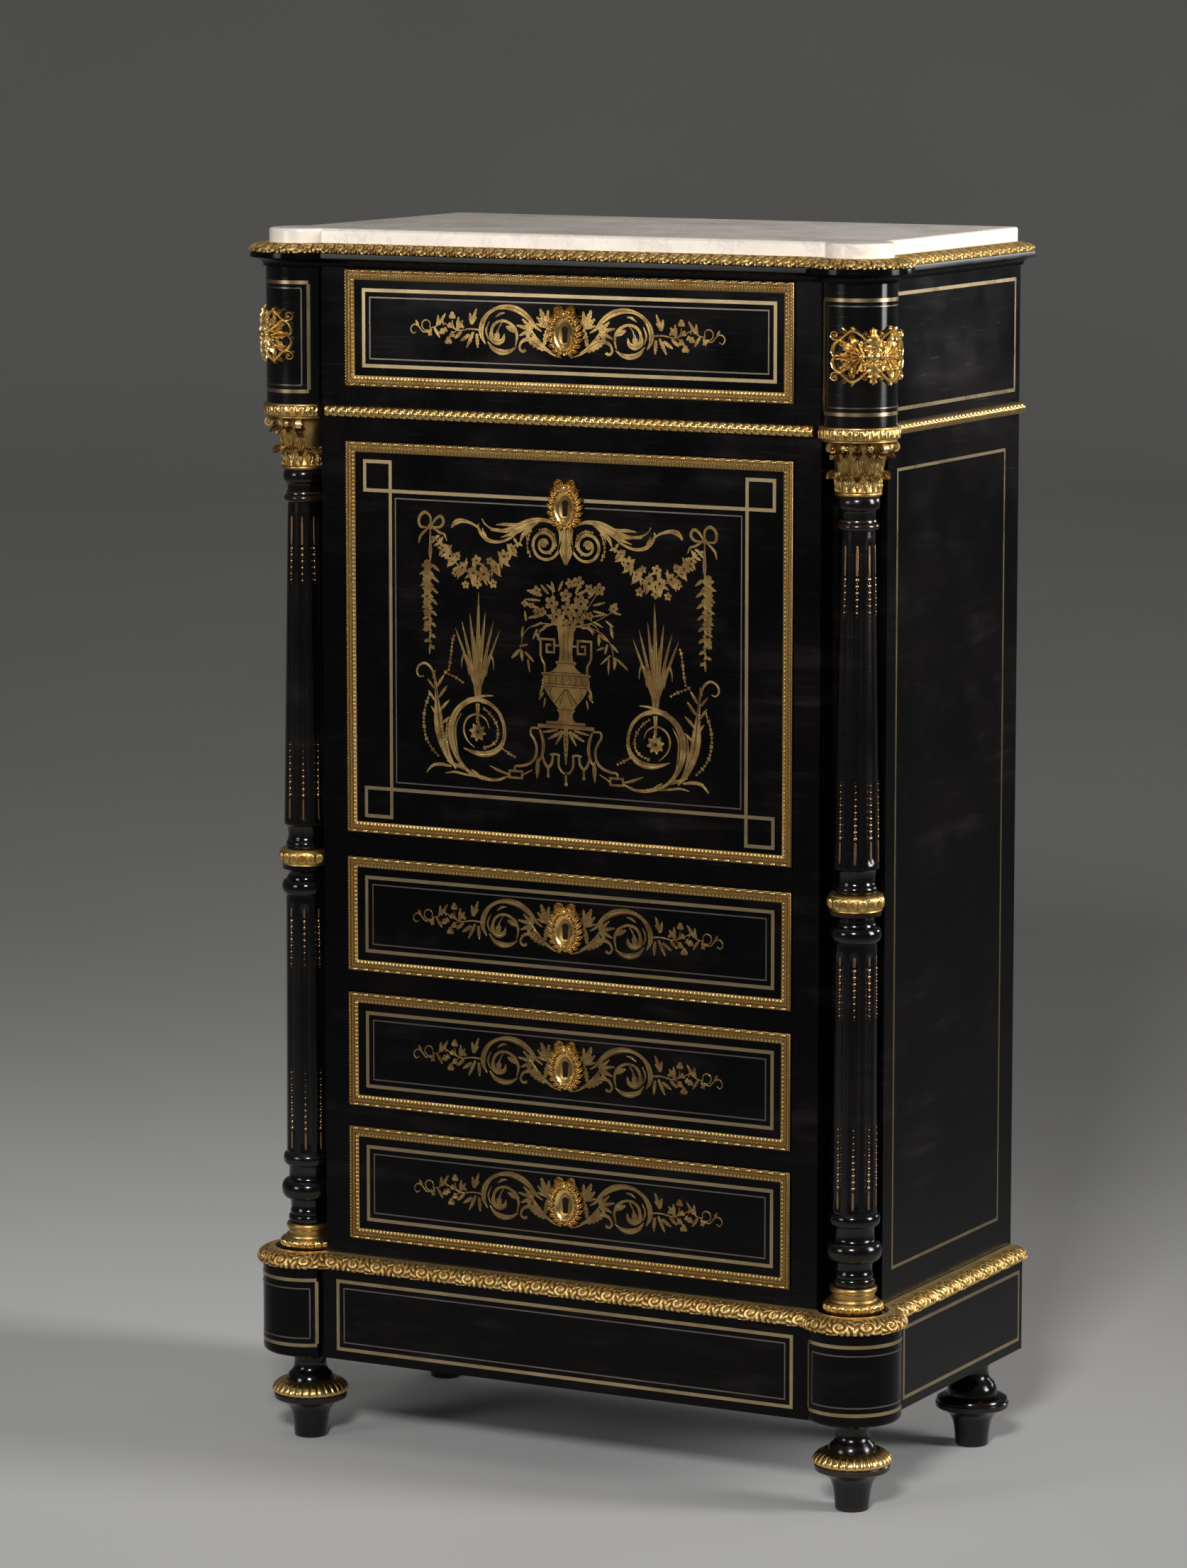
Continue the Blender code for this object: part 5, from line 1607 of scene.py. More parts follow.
class SECRETAIRE_OT_strings(bpy.types.Operator):
    """Brass strings let into the fronts, sides, plinth and round blocks"""

    bl_idname = "secretaire.strings"
    bl_label = "Brass strings"
    bl_options = {"REGISTER", "UNDO"}

    # Front, back, low and high of the frame on a side; outer and inner heights on the round blocks
    side_frame = (80.0, 364.0, 262.0, 1148.0)
    frieze_block = ((1337.0, 1214.6), (1330.5, 1221.5))
    plinth_block = ((195.0, 118.5), (185.0, 126.8))
    block_reach = radians(84.0)
    plinth_low, plinth_high = 12.5, 13.0
    fine_low, fine_high = 20.5, 21.0

    def execute(self, context):
        sizes = context.scene.secretaire_sizes
        thick, thin = sizes.string / MM, sizes.fine_string / MM
        inset, space, high = sizes.string_inset / MM, sizes.string_space / MM, sizes.inlay / MM
        for name in DRAWERS:
            low, top = span(f"drawer_frame_{name}")
            main, fine = Kit(), Kit()
            box = (low.x + inset, top.x - inset, low.z + inset, top.z - inset)
            frame_line(main, on_front, *box, thick, high)
            frame_line(fine, on_front, box[0] + space, box[1] - space, box[2] + space, box[3] - space, thin,
                       high)
            self.lay(main, fine, f"drawer_{name}")
        self.fall(thick, thin, high)
        main, fine = Kit(), Kit()
        front = lambda p, q, h: on_front(p, q, h - PLINTH_FRONT)
        low, top = span("plinth_frame")
        reach = AXIS_X - PLINTH_R - 4.5
        frame_line(main, front, -reach, reach, low.z + self.plinth_low, top.z - self.plinth_high, thick, high)
        frame_line(fine, front, -reach + space, reach - space, low.z + self.fine_low, top.z - self.fine_high,
                   thin, high)
        frieze = middle("drawer_frame_frieze").z
        for _, sign in SIDES:
            wall = on_side(sign, PLINTH_HALF)
            frame_line(main, wall, 81.0, BODY_BACK - 10.0, low.z + self.plinth_low, top.z - self.plinth_high,
                       thick, high)
            wall = on_side(sign, BODY_HALF)
            frame_line(main, wall, *self.side_frame, thick * 0.85, high)
            frame_line(main, wall, 76.0, BODY_BACK - 14.0, frieze - 73.5, frieze + 51.5, thick, high)
            for radius, (outer, inner) in ((FRIEZE_R, self.frieze_block), (PLINTH_R, self.plinth_block)):
                reach = radius * self.block_reach
                self.drum(main, sign, radius, reach, outer, thick, high)
                self.drum(fine, sign, radius, reach - 8.0, inner, thin, high)
        self.lay(main, fine, "carcass")
        return {"FINISHED"}

    def lay(self, main, fine, body):
        main.piece("strings_" + body, body, brass(), "gilt_bronze")
        fine.piece("fine_strings_" + body, body, pewter(), "gilt_bronze")

    def drum(self, kit, sign, radius, reach, ends, wide, high):
        """A curved rectangle of string on a round block."""
        top, low = ends
        place = on_drum(sign * AXIS_X, corner_angle(sign), radius + 0.02)
        for z in ends:
            line = np.stack([np.linspace(-reach, reach, 60), np.full(60, z)], -1)
            stroke(kit, place, line, (wide,), high)
        for p in (-reach, reach):
            bar(kit, place, p - wide / 2, p + wide / 2, low + wide / 2, top - wide / 2, high)

    def fall(self, thick, thin, high):
        """The crossed string of the fall with a square at each corner, and the fine string inside it."""
        main, fine = Kit(), Kit()
        x_in, x_out = 223.5, 256.5
        z_low, z_high, z_under, z_over = 767.5, 1105.5, 735.5, 1138.0
        half = thick / 2
        for z in (z_low, z_high):
            bar(main, on_front, -x_out - half, x_out + half, z - half, z + half, high)
        for sign in (-1.0, 1.0):
            bar(main, on_front, sign * x_in - half, sign * x_in + half, z_under - half, z_over + half, high)
            for inner, outer in ((z_low, z_under), (z_high, z_over)):
                a, b = sorted((inner, outer))
                bar(main, on_front, sign * x_out - half, sign * x_out + half, a - half, b + half, high)
                a, b = sorted((sign * x_in, sign * x_out))
                bar(main, on_front, a - half, b + half, outer - half, outer + half, high)
        frame_line(fine, on_front, -217.0, 217.0, 775.8, 1097.5, thin, high)
        self.lay(main, fine, "fall")


class SECRETAIRE_OT_drawer_marquetry(bpy.types.Operator):
    """Brass scrolls and leafy sprays on the drawers"""

    bl_idname = "secretaire.drawer_marquetry"
    bl_label = "Drawer marquetry"
    bl_options = {"REGISTER", "UNDO"}

    def execute(self, context):
        sizes = context.scene.secretaire_sizes
        high = sizes.inlay / MM
        for name in DRAWERS:
            kit = Kit()
            z = middle(f"drawer_frame_{name}").z
            for sign in (-1.0, 1.0):
                self.half(kit, sign, z, high)
            # The drawers below the frieze get the darker copy, as painted shade.
            tone = marquetry() if name == "frieze" else browned_marquetry()
            kit.piece(f"marquetry_drawer_{name}", f"drawer_{name}", tone, "gilt_bronze")
        return {"FINISHED"}

    def half(self, kit, sign, z, high):
        """One side of the design; x runs outward from the keyhole, heights from the drawer's middle."""

        def place(p, q, h):
            return on_front(sign * p, q + z, h)

        def line(points, widths, steps=26):
            stroke(kit, place, smooth_line(points, steps), widths, high)

        line([(30, 3), (38, 8), (46, 17), (58, 25), (72, 28.5), (86, 27), (98, 20), (105, 9), (106, -3),
              (101, -13)],
             (1.4, 4.2, 6.4, 7.2, 6.0, 4.0, 4.0, 6.4, 6.0, 1.2), 48)
        line([(62, -15), (70, -20), (80, -21.5), (91, -18), (98, -10)], (1.2, 4.6, 6.8, 5.0, 1.4))
        line([(63, -14), (61, -3), (65, 7), (76, 13), (87, 11), (93, 3), (91, -7), (83, -12)],
             (1.2, 3.2, 3.6, 3.0, 3.2, 3.6, 3.2, 1.2), 40)
        line([(88, 17), (82, 21), (76, 22)], (0.8, 3.0, 1.0), 10)
        line([(96, 12), (100, 2), (97, -8)], (0.8, 2.4, 0.8), 12)
        line([(95.5, 0), (93.5, -7), (86, -10.4), (79, -8), (77, -1)], (1.0, 5.0, 7.4, 5.0, 1.0))
        for x, turn, size in ((86, 92, 12.5), (84, 56, 9.5), (88.5, 126, 9.5)):
            leaf(kit, place, x, -9, turn, size, 5.2, high)
        line([(80, 11), (84, 5), (85.5, -3)], (0.9, 1.5, 1.2), 12)
        leaf(kit, place, 62, 2, 18, 14, 7.4, high, 1.0, LOBED)
        for turn, size in ((8, 20), (38, 17), (-28, 18), (68, 11), (-58, 12)):
            leaf(kit, place, 42, 5, turn, size, 5.2, high, 1.0, LOBED)
        line([(6, -25), (18, -21), (30, -13), (40, 0), (47, 8)], (1.6, 2.2, 2.6, 2.4, 1.2))
        line([(18, -20), (29, -14), (38, -8), (47, -6), (55, -9), (58, -16), (54, -20), (50, -18)],
             (2.0, 4.4, 7.2, 6.4, 4.2, 3.0, 2.8, 3.4), 34)
        for x, y, turn in ((32, -11, 62), (38, -7, 55), (44, -6, 40)):
            leaf(kit, place, x, y, turn, 8, 3.6, high)
        leaf(kit, place, 27, -12, 98, 21, 7.0, high, 2.0, LOBED)
        leaf(kit, place, 26, -17, 25, 27, 10.0, high, 1.0, LOBED)
        for turn, size, width in ((66, 22, 8.4), (94, 19, 6.8), (38, 17, 6.6), (10, 14, 4.6), (122, 12, 5.0)):
            leaf(kit, place, 24, 8, turn, size, width, high, 1.0, LOBED)
        line([(106, 2), (120, 3), (134, 1), (146, 5), (156, 9), (165, 4), (172, 3)],
             (2.0, 1.6, 1.4, 1.2, 1.1, 1.0), 36)
        for x, y, turn, size in ((118, 8, 104, 19), (118, 8, 72, 13), (120, 9, 130, 11), (116, 0, -68, 20),
                                 (112, -2, -100, 16), (121, -3, -40, 14), (136, 0, 88, 16), (137, 2, 120, 13),
                                 (131, 0, -50, 12), (128, 4, 30, 12)):
            leaf(kit, place, x, y, turn, size, 5.2, high, 1.5, LOBED)
        for x, y, size in ((143, 17, 4.6), (148, -11, 4.8), (143, -4, 4.0), (146, 6, 3.6), (156, -1, 4.0),
                           (152, 1, 3.2)):
            flower(kit, place, x, y, size, high, 3, 90)
        line([(143, 12), (142, 6), (138, 1)], (1.0, 1.2, 1.0), 8)
        line([(148, -8), (144, -3), (138, 0)], (1.0, 1.2, 1.0), 8)
        for x, y, turn, size in ((160, 6, 118, 16), (161, 6, 84, 11), (166, 3, -128, 13), (170, 2, -78, 9),
                                 (176, 0, -150, 9)):
            leaf(kit, place, x, y, turn, size, 4.4, high, 1.2, LOBED)
        stroke(kit, place, spiral(158, 7, 5.2, 3.8, -30, 200, 18), (1.2, 1.8, 1.2), high)
        stroke(kit, place, spiral(176, 6, 6.4, 4.6, -120, 210, 24), (1.0, 1.7, 1.0), high)
        line([(172, 0), (180, -2), (186, 4), (192, 6), (196, 1), (193, -4), (189, -2)],
             (1.0, 1.4, 1.6, 1.4, 1.0), 26)
        leaf(kit, place, 186, 4, 62, 8, 3.4, high)


class SECRETAIRE_OT_fall_marquetry(bpy.types.Operator):
    """Brass marquetry of the fall: urn of flowers, scrolls, reeds, swags and drops"""

    bl_idname = "secretaire.fall_marquetry"
    bl_label = "Fall marquetry"
    bl_options = {"REGISTER", "UNDO"}

    # Inlaid lines and leaves are this share of the width that they are drawn with
    line_share, leaf_share = 0.86, 0.8

    def execute(self, context):
        sizes = context.scene.secretaire_sizes
        self.high = sizes.inlay / MM
        # Two kits of marquetry: the scrolls, swag and outer leaf in the plain brass, and the rest in the
        # darker copy, as painted shade.
        bright, tarnished_and_shaded, self.cuts = Kit(), Kit(), Kit()
        for sign in (-1.0, 1.0):
            self.place = lambda p, q, h, sign=sign: on_front(sign * p, q, h)
            self.kit = bright
            self.top_scroll()
            self.swag()
            self.big_scroll()
            self.outer_leaf()
            self.kit = tarnished_and_shaded
            self.bow_and_drop()
            self.reeds()
            self.stand()
            self.handle()
        self.place = on_front
        self.urn()
        self.bouquet()
        bright.piece("marquetry_scrolls", "fall", marquetry(), "gilt_bronze")
        tarnished_and_shaded.piece("marquetry_urn", "fall", browned_marquetry(), "gilt_bronze")
        self.cuts.piece("engraved_fall", "fall", mastic(), "ebonised_wood")
        return {"FINISHED"}

    def line(self, points, widths, steps=28):
        stroke(self.kit, self.place, smooth_line(points, steps), np.multiply(widths, self.line_share),
               self.high)

    def curl(self, *spiral_values, widths):
        stroke(self.kit, self.place, spiral(*spiral_values), widths, self.high)

    def cut(self, points, width=0.8, steps=20):
        stroke(self.cuts, self.place, smooth_line(points, steps), (width,), self.high + 0.12)

    def leaves(self, *rows, shape=LOBED):
        for x, z, turn, length, width, bend in rows:
            leaf(self.kit, self.place, x, z, turn, length, width * self.leaf_share, self.high, bend, shape)

    def beads(self, points, size):
        """A chain of small husks along a line."""
        line = smooth_line(points, 60)
        run = np.concatenate([[0.0], np.cumsum(np.hypot(*np.diff(line, axis=0).T))])
        count = max(2, int(run[-1] / (size * 2.5)))
        for k in range(count + 1):
            at = run[-1] * k / count
            x, z = (np.interp(at, run, line[:, c]) for c in (0, 1))
            if k % 3 == 2:
                flower(self.kit, self.place, x, z, size * 1.5, self.high, 4, 45)
            else:
                disc(self.kit, self.place, x, z, size * 0.9, self.high, sides=8)
        stroke(self.kit, self.place, line, (0.7,), self.high * 0.8)

    def top_scroll(self):
        """The scroll over the urn with its coil, leaves and husks."""
        self.line([(14, 1079), (28, 1082), (44, 1080), (60, 1073), (76, 1068), (92, 1069), (102, 1074),
                   (106, 1080)],
                  (3, 5, 7.5, 9.5, 8, 4.5, 2.6, 1.0), 44)
        self.line([(52, 1077), (64, 1075), (76, 1075), (88, 1074)], (1.5, 4.0, 4.4, 1.2), 20)
        self.line([(64, 1071), (72, 1068.5), (84, 1067.5), (95, 1067.5)], (2.0, 4.0, 3.4, 1.0), 18)
        self.line([(36, 1079), (50, 1073), (62, 1067), (72, 1063.5), (82, 1060)], (1.5, 4.0, 5.0, 4.4, 1.0),
                  26)
        self.line([(38, 1078), (47, 1071), (54, 1064), (58, 1055)], (1.2, 3.6, 5.6, 1.0), 22)
        self.line([(34, 1079), (42, 1074), (48, 1067), (50, 1062)], (1.0, 2.6, 3.0, 0.8), 16)
        self.line([(60, 1067), (70, 1060), (84, 1055), (97, 1056), (106, 1062), (111, 1071), (109.5, 1074.5)],
                  (1.2, 3.0, 3.6, 4.0, 5.6, 4.6, 1.2), 40)
        self.line([(106, 1064), (113, 1071), (122, 1075), (132, 1076.5), (140, 1074), (145, 1068)],
                  (1.2, 2.4, 3.4, 5.6, 7.4, 1.6), 30)
        self.leaves((100, 1059, 55, 9, 3.6, 1.0), (104, 1061, 75, 9, 3.2, 1.0), shape=LEAF)
        self.line([(10, 1078), (7, 1066), (7.5, 1056), (9.5, 1048)], (2.0, 3.4, 3.0, 3.0), 16)
        self.curl(26.5, 1055, 18.2, 3.4, 204, 204 + 690, 96, widths=(3.0, 3.6, 3.6, 3.2, 3.0, 2.6))
        disc(self.kit, self.place, 28.0, 1055.5, 4.2, self.high, sides=14)
        self.beads([(44, 1069), (47.5, 1061), (48.5, 1051), (45, 1041)], 1.7)
        self.beads([(33, 1071), (25, 1071.5), (17, 1068), (13, 1060), (14, 1052), (20, 1046)], 1.5)
        self.line([(0, 1082), (3.2, 1070), (4.6, 1058), (5.0, 1048), (1.2, 1034)], (4.6, 5.4, 7.4, 7.0, 1.4),
                  26)
        self.leaves((4, 1062, -62, 16, 5.0, -2.0), (5, 1074, 40, 13, 4.0, 2.0))

    def bow_and_drop(self):
        """A ribbon bow and the drop of flowers that hangs from it."""
        self.line([(171, 1069), (164, 1078), (158, 1080), (155, 1074), (160, 1068), (170, 1068)],
                  (2.0, 3.4, 4.0, 4.0, 3.2, 2.0), 30)
        self.line([(172, 1069), (172, 1079), (179, 1084), (186, 1078), (185, 1068), (174, 1067)],
                  (2.0, 3.4, 4.2, 4.2, 3.4, 2.0), 30)
        self.line([(169, 1067), (160, 1062), (154, 1060), (151, 1053)], (2.0, 3.4, 3.0, 1.4), 18)
        self.line([(175, 1066), (182, 1060), (185, 1056), (187, 1049)], (2.0, 3.4, 3.6, 1.4), 18)
        disc(self.kit, self.place, 172, 1068, 3.4, self.high, sides=12)
        self.line([(172, 1066), (172, 1052), (172, 1038), (172.5, 1028)], (1.4, 3.0, 5.6, 2.0), 18)
        steps = 15
        for k in range(steps):
            z = 1026 - 92 * k / (steps - 1)
            wide = 13.5 - 8.0 * k / (steps - 1)
            swing = 1.0 if k % 2 else -1.0
            x = 173 + swing * 2.0
            self.leaves((x, z, -90 + swing * 58, wide, 5.0, 1.0),
                        (x, z, -90 - swing * 44, wide * 0.8, 4.4, -1.0),
                        (x, z, 90 + swing * 50, wide * 0.6, 3.6, 0.0), shape=LEAF)
            if k % 2 == 0 and k < 11:
                flower(self.kit, self.place, 173 - swing * 4.0, z - 2, 6.6 - k * 0.22, self.high, 5, 20 * k)
            elif k % 4 == 3:
                flower(self.kit, self.place, 173 + swing * 5.0, z - 1, 5.2 - k * 0.12, self.high, 6, 15 * k)
        self.leaves((173, 936, -90, 12, 3.6, 0.5), shape=LEAF)

    # Flowers: place, radius, petals and turn in degrees
    swag_flowers = (
        (104, 1018, 8.6, 6, 0), (117, 1018.5, 8.0, 5, 30), (92, 1008, 5.6, 5, 10),
        (112, 1007, 6.0, 5, 50), (78, 1039, 8.2, 6, 20), (131, 1024, 6.8, 5, 0),
        (113, 1033, 6.4, 5, 80), (147, 1036, 7.4, 6, 40), (88, 1027, 5.4, 5, 0),
        (127, 1005, 5.0, 5, 15), (156, 1045, 6.2, 5, 70), (68, 1049, 5.2, 5, 0),
        (96, 1033, 4.8, 5, 33), (138, 1036, 5.0, 5, 12), (140, 1018, 5.2, 5, 60),
    )

    def swag(self):
        """A swag of leaves and flowers from the top scroll to the bow."""
        line = smooth_line([(62, 1055), (68, 1047), (77, 1038), (88, 1028), (100, 1020), (112, 1017.5),
                            (124, 1019), (136, 1026), (147, 1036), (157, 1046), (166, 1056)], 80)
        stroke(self.kit, self.place, line, (1.2,), self.high * 0.8)
        steps, last = 19, len(line) - 1
        for k in range(steps):
            at = int(last * k / (steps - 1))
            x, z = line[at]
            full = sin(pi * k / (steps - 1))
            swing = 1.0 if k % 2 else -1.0
            run = line[min(last, at + 1)] - line[max(0, at - 1)]
            along = np.degrees(atan2(*run[::-1]))
            reach = 8.0 + 7.0 * full
            self.leaves((x, z, along + 90 * swing - 25, reach, 4.8, 1.5),
                        (x, z, along - 90 * swing + 30, reach * 0.85, 4.4, -1.5),
                        (x, z, along + 48 * swing, reach * 0.7, 3.8, 0.0), shape=LEAF)
        for x, z, size, petals, turn in self.swag_flowers:
            flower(self.kit, self.place, x, z, size, self.high + 0.08, petals, turn)
            disc(self.cuts, self.place, x, z, size * 0.2, self.high + 0.24, sides=8)

    def big_scroll(self):
        """The large scroll beside the urn round its flower."""
        self.line([(72, 793), (88, 787.5), (106, 788.5), (124, 795), (137, 808), (145, 826), (146, 845),
                   (139, 862), (126, 873), (112, 876.5), (97, 873), (84, 862), (78, 846), (80, 830),
                   (90, 819.5), (104, 815.5), (118, 817), (130, 821)],
                  (2.2, 3.8, 4.6, 4.6, 5.0, 7.4, 9.4, 9.4, 8.0, 6.8, 5.4, 4.8, 4.6, 4.8, 6.6, 8.4, 6.4, 1.0),
                  110)
        self.line([(137, 813), (140, 829), (140, 846), (133, 860)], (0.8, 2.4, 2.4, 0.8), 24)
        self.line([(86, 864), (96, 871), (108, 873.5)], (0.6, 1.6, 0.6), 14)
        self.line([(116, 822), (126, 831), (130, 843), (125, 855), (113, 860), (102, 855), (97, 845)],
                  (0.8, 2.2, 2.8, 2.6, 2.6, 2.4, 0.8), 36)
        self.line([(112, 872), (112, 862), (112, 850)], (6.0, 4.6, 4.2), 10)
        for turn in range(0, 360, 45):
            leaf(self.kit, self.place, 112, 840, turn + 10, 11.0, 6.6, self.high)
        disc(self.kit, self.place, 112, 840, 6.0, self.high + 0.1, sides=16)
        disc(self.cuts, self.place, 112, 840, 2.0, self.high + 0.3, sides=10)
        self.beads([(104, 867), (96, 861), (89, 852), (86, 842), (88, 832), (95, 826), (103, 823)], 1.7)
        self.beads([(80, 823), (73, 819), (65, 815)], 1.7)
        self.line([(92, 882), (102, 881.5), (114, 879), (126, 877)], (1.0, 3.4, 3.0, 1.0), 16)
        self.leaves((108, 789, 42, 15, 5.0, -2.0), (124, 795, 36, 16, 5.0, -2.0),
                    (96, 787.5, 16, 20, 4.2, -1.0))

    # Reeds: turn in degrees, length, width and bend
    reed_blades = (
        (90, 108, 4.6, 1.5), (86, 84, 4.2, -3.0), (94, 86, 4.2, 3.0), (81, 76, 3.8, -6.0),
        (99, 78, 3.8, 6.0), (76, 70, 3.6, -8.0), (104, 70, 3.6, 8.0), (84, 58, 3.4, 4.0),
        (96, 60, 3.4, -4.0),
    )
    reed_shape = (0.6, 0.8, 1.0, 1.0, 0.9, 0.75, 0.5, 0.05)

    def reeds(self):
        """A sheaf of reeds with two curled leaves on each side."""
        middle_x = 112
        for turn, length, width, bend in self.reed_blades:
            x = middle_x + (90 - turn) * 0.32
            leaf(self.kit, self.place, x, 893, turn, length - 3, width, self.high, bend, self.reed_shape)
        for half in (-1.0, 1.0):
            long = ((4, 894), (9, 908), (13, 922), (17, 927), (20, 920), (20.5, 911))
            self.line([(middle_x + half * p, q) for p, q in long], (2.4, 3.4, 3.4, 3.0, 2.4, 0.8), 28)
            short = ((3, 898), (6, 910), (9.5, 917), (12, 912), (11, 903))
            self.line([(middle_x + half * p, q) for p, q in short], (2.0, 2.6, 2.8, 2.2, 0.8), 22)
        self.line([(middle_x, 877), (middle_x, 886), (middle_x, 899)], (8.0, 11.0, 13.0), 10)

    def outer_leaf(self):
        """The tall leaf at the outer edge and its husks."""
        self.line([(140, 797), (152, 812), (160, 834), (163, 858), (165, 880), (167, 897), (172, 909),
                   (180, 914), (188, 910), (190, 903), (186, 898), (181, 899.5)],
                   (2.4, 6.0, 9.5, 13.0, 14.0, 10.0, 5.0, 3.6, 3.4, 3.2, 2.8, 1.2), 72)
        self.line([(142, 800), (149, 815), (152.5, 833), (151, 853)], (1.4, 3.2, 3.2, 0.8), 26)
        self.line([(147, 801), (155, 815), (158, 830)], (1.0, 2.2, 0.8), 14)
        self.leaves((160, 862, 128, 17, 5.4, 2.0), (162, 876, 122, 18, 5.6, 2.0),
                    (164, 888, 116, 17, 5.2, 2.0), (158, 846, 130, 14, 4.6, 2.0),
                    (167, 872, 62, 14, 4.6, -2.0), (168, 886, 60, 13, 4.4, -2.0),
                    (165, 856, 64, 12, 4.2, -2.0), (169, 897, 92, 10, 4.0, 2.0))
        self.cut([(150, 812), (159, 838), (163, 866), (166, 892)], 0.7, 24)
        self.beads([(163, 810), (171, 818), (178, 829), (181, 842), (181, 856), (178, 868), (174, 879)], 1.8)
        self.beads([(131, 895), (138, 899), (146, 902), (153, 905)], 1.7)
        self.beads([(149, 908), (147, 918), (145.5, 929), (144, 941), (142, 947)], 1.6)
        self.line([(146, 799), (158, 800.5), (168, 799.5), (174, 795), (178, 790)], (2.0, 4.2, 4.6, 3.6, 1.0),
                  24)
        self.line([(128, 796), (140, 801), (152, 805)], (1.0, 4.6, 1.0), 14)
        self.line([(112, 789), (128, 791), (142, 793), (154, 791)], (1.0, 3.0, 3.2, 0.8), 18)

    def stand(self):
        """The stand under the urn: legs, brackets and hanging leaves."""
        self.line([(33, 848), (29.5, 838), (28.5, 828), (31, 817), (38, 808)], (3.0, 4.4, 4.6, 3.6, 1.4), 26)
        self.line([(34, 849), (43, 849), (44.5, 843), (40, 836), (37, 827), (39, 816), (46, 809), (56, 805.5),
                   (64, 804.5), (65, 799)],
                  (2.4, 3.0, 3.2, 3.2, 3.4, 3.6, 3.8, 3.6, 3.4, 3.0), 56)
        self.line([(42, 802), (50, 798), (56, 794)], (0.8, 2.2, 1.2), 12)
        frame_line(self.kit, self.place, 55.5, 71.5, 791.5, 799.0, 2.6, self.high)
        self.line([(73, 795), (84, 798), (97, 803)], (2.8, 4.0, 1.0), 16)
        self.line([(9, 821), (9, 809), (5, 802), (0, 800)], (3.0, 3.0, 3.0, 3.0), 20)
        self.line([(8, 820.5), (14, 821.5), (20, 820.5)], (2.6, 3.0, 2.6), 8)
        self.line([(16.5, 820), (18, 811), (22.5, 806.5), (27, 811), (30, 820)], (2.6, 3.4, 4.0, 3.4, 2.2),
                  24)
        self.line([(22.5, 806), (22.5, 796)], (3.4, 2.4), 5)
        disc(self.kit, self.place, 22.5, 796.5, 2.2, self.high, sides=10)
        self.leaves((35.5, 816, -90, 24, 6.6, 1.0), shape=LEAF)
        self.leaves((4, 848, -34, 22, 6.0, 2.0), (3, 848, -60, 19, 5.4, 1.0), (10, 849, -14, 20, 4.6, 1.0))

    def handle(self):
        """The key pattern of the urn's handle and the leaves below it."""
        key_pattern = (((18.5, 943.5), (24.2, 943.5), 2.4), ((24.2, 944.7), (24.2, 934.2), 2.4),
                       ((25.4, 935.2), (13.8, 935.2), 2.4), ((14.8, 934.0), (14.8, 950.8), 2.4),
                       ((13.6, 949.6), (33.0, 949.6), 2.6), ((31.8, 950.6), (31.8, 931.0), 2.6),
                       ((8.0, 943.2), (15.0, 943.2), 2.2))
        for first, last, width in key_pattern:
            stroke(self.kit, self.place, np.array([first, last]), (width,), self.high)
        self.line([(31.8, 932), (29.8, 926), (27.0, 921), (26.6, 911)], (2.6, 2.8, 2.8, 3.0), 18)
        self.leaves((29, 898, -76, 13, 4.6, 1.0), (28, 890, -60, 11, 4.0, 1.0), (26, 884, -84, 11, 3.6, 1.0),
                    (29, 906, -88, 12, 3.6, -1.0))

    # Engraved lines on one half of the urn, with their widths
    urn_cuts = (
        (((1.5, 895), (8, 886), (14, 878)), 0.9), (((0, 895), (4, 886), (8, 876)), 0.7),
        (((18, 896), (20, 890), (17, 883)), 0.6), (((3.5, 909), (6, 904), (3, 900.5)), 0.7),
        (((12, 909), (13, 905), (12, 901)), 0.6), (((20, 909), (21, 905), (20, 901)), 0.6),
        (((3, 960), (2.4, 944), (3.2, 928)), 0.5),
    )

    def urn(self):
        """The body of the urn from its foot to its lip, its steps and the drop below it."""
        half = [(12.5, 857.5), (10.0, 860), (8.4, 864), (8.6, 868), (11.5, 871), (10.2, 873.2), (14.5, 878),
                (20.0, 884), (25.0, 890.5), (28.0, 897), (29.0, 903), (28.6, 909), (31.0, 910), (31.0, 912.2),
                (20.5, 913), (16.5, 915.5), (12.0, 919), (10.5, 922), (13.0, 923.5), (13.0, 925.2),
                (9.0, 926.5), (8.0, 934), (8.0, 942), (9.4, 950), (9.8, 958), (11.5, 964)]
        patch(self.kit, on_front, half + [(-x, z) for x, z in reversed(half)], self.high)
        for wide, low, top in ((24.5, 855.2, 858.2), (35.5, 850.2, 854.4)):
            bar(self.kit, on_front, -wide, wide, low, top, self.high)
        for z, reach in ((897, 27.4), (900, 28.0), (910, 28.0), (913, 19.5), (872, 10.5), (923.6, 11.5)):
            self.cut([(-reach, z), (0, z), (reach, z)], 0.7, 6)
        for sign in (-1.0, 1.0):
            for points, width in self.urn_cuts:
                self.cut([(sign * p, q) for p, q in points], width)
        self.line([(0, 850), (0, 838), (0, 824), (0, 810)], (5.0, 7.4, 4.6, 1.2), 22)
        self.line([(0, 801), (0, 789)], (3.6, 2.4), 6)
        disc(self.kit, on_front, 0, 788.5, 2.4, self.high, sides=10)
        for z in (842, 836, 830, 824, 818):
            disc(self.cuts, on_front, 0, z, 0.9, self.high + 0.25, sides=8)
        self.line([(-4, 1078), (0, 1064), (0, 1048), (0, 1033)], (2.0, 4.0, 5.0, 1.0), 20)

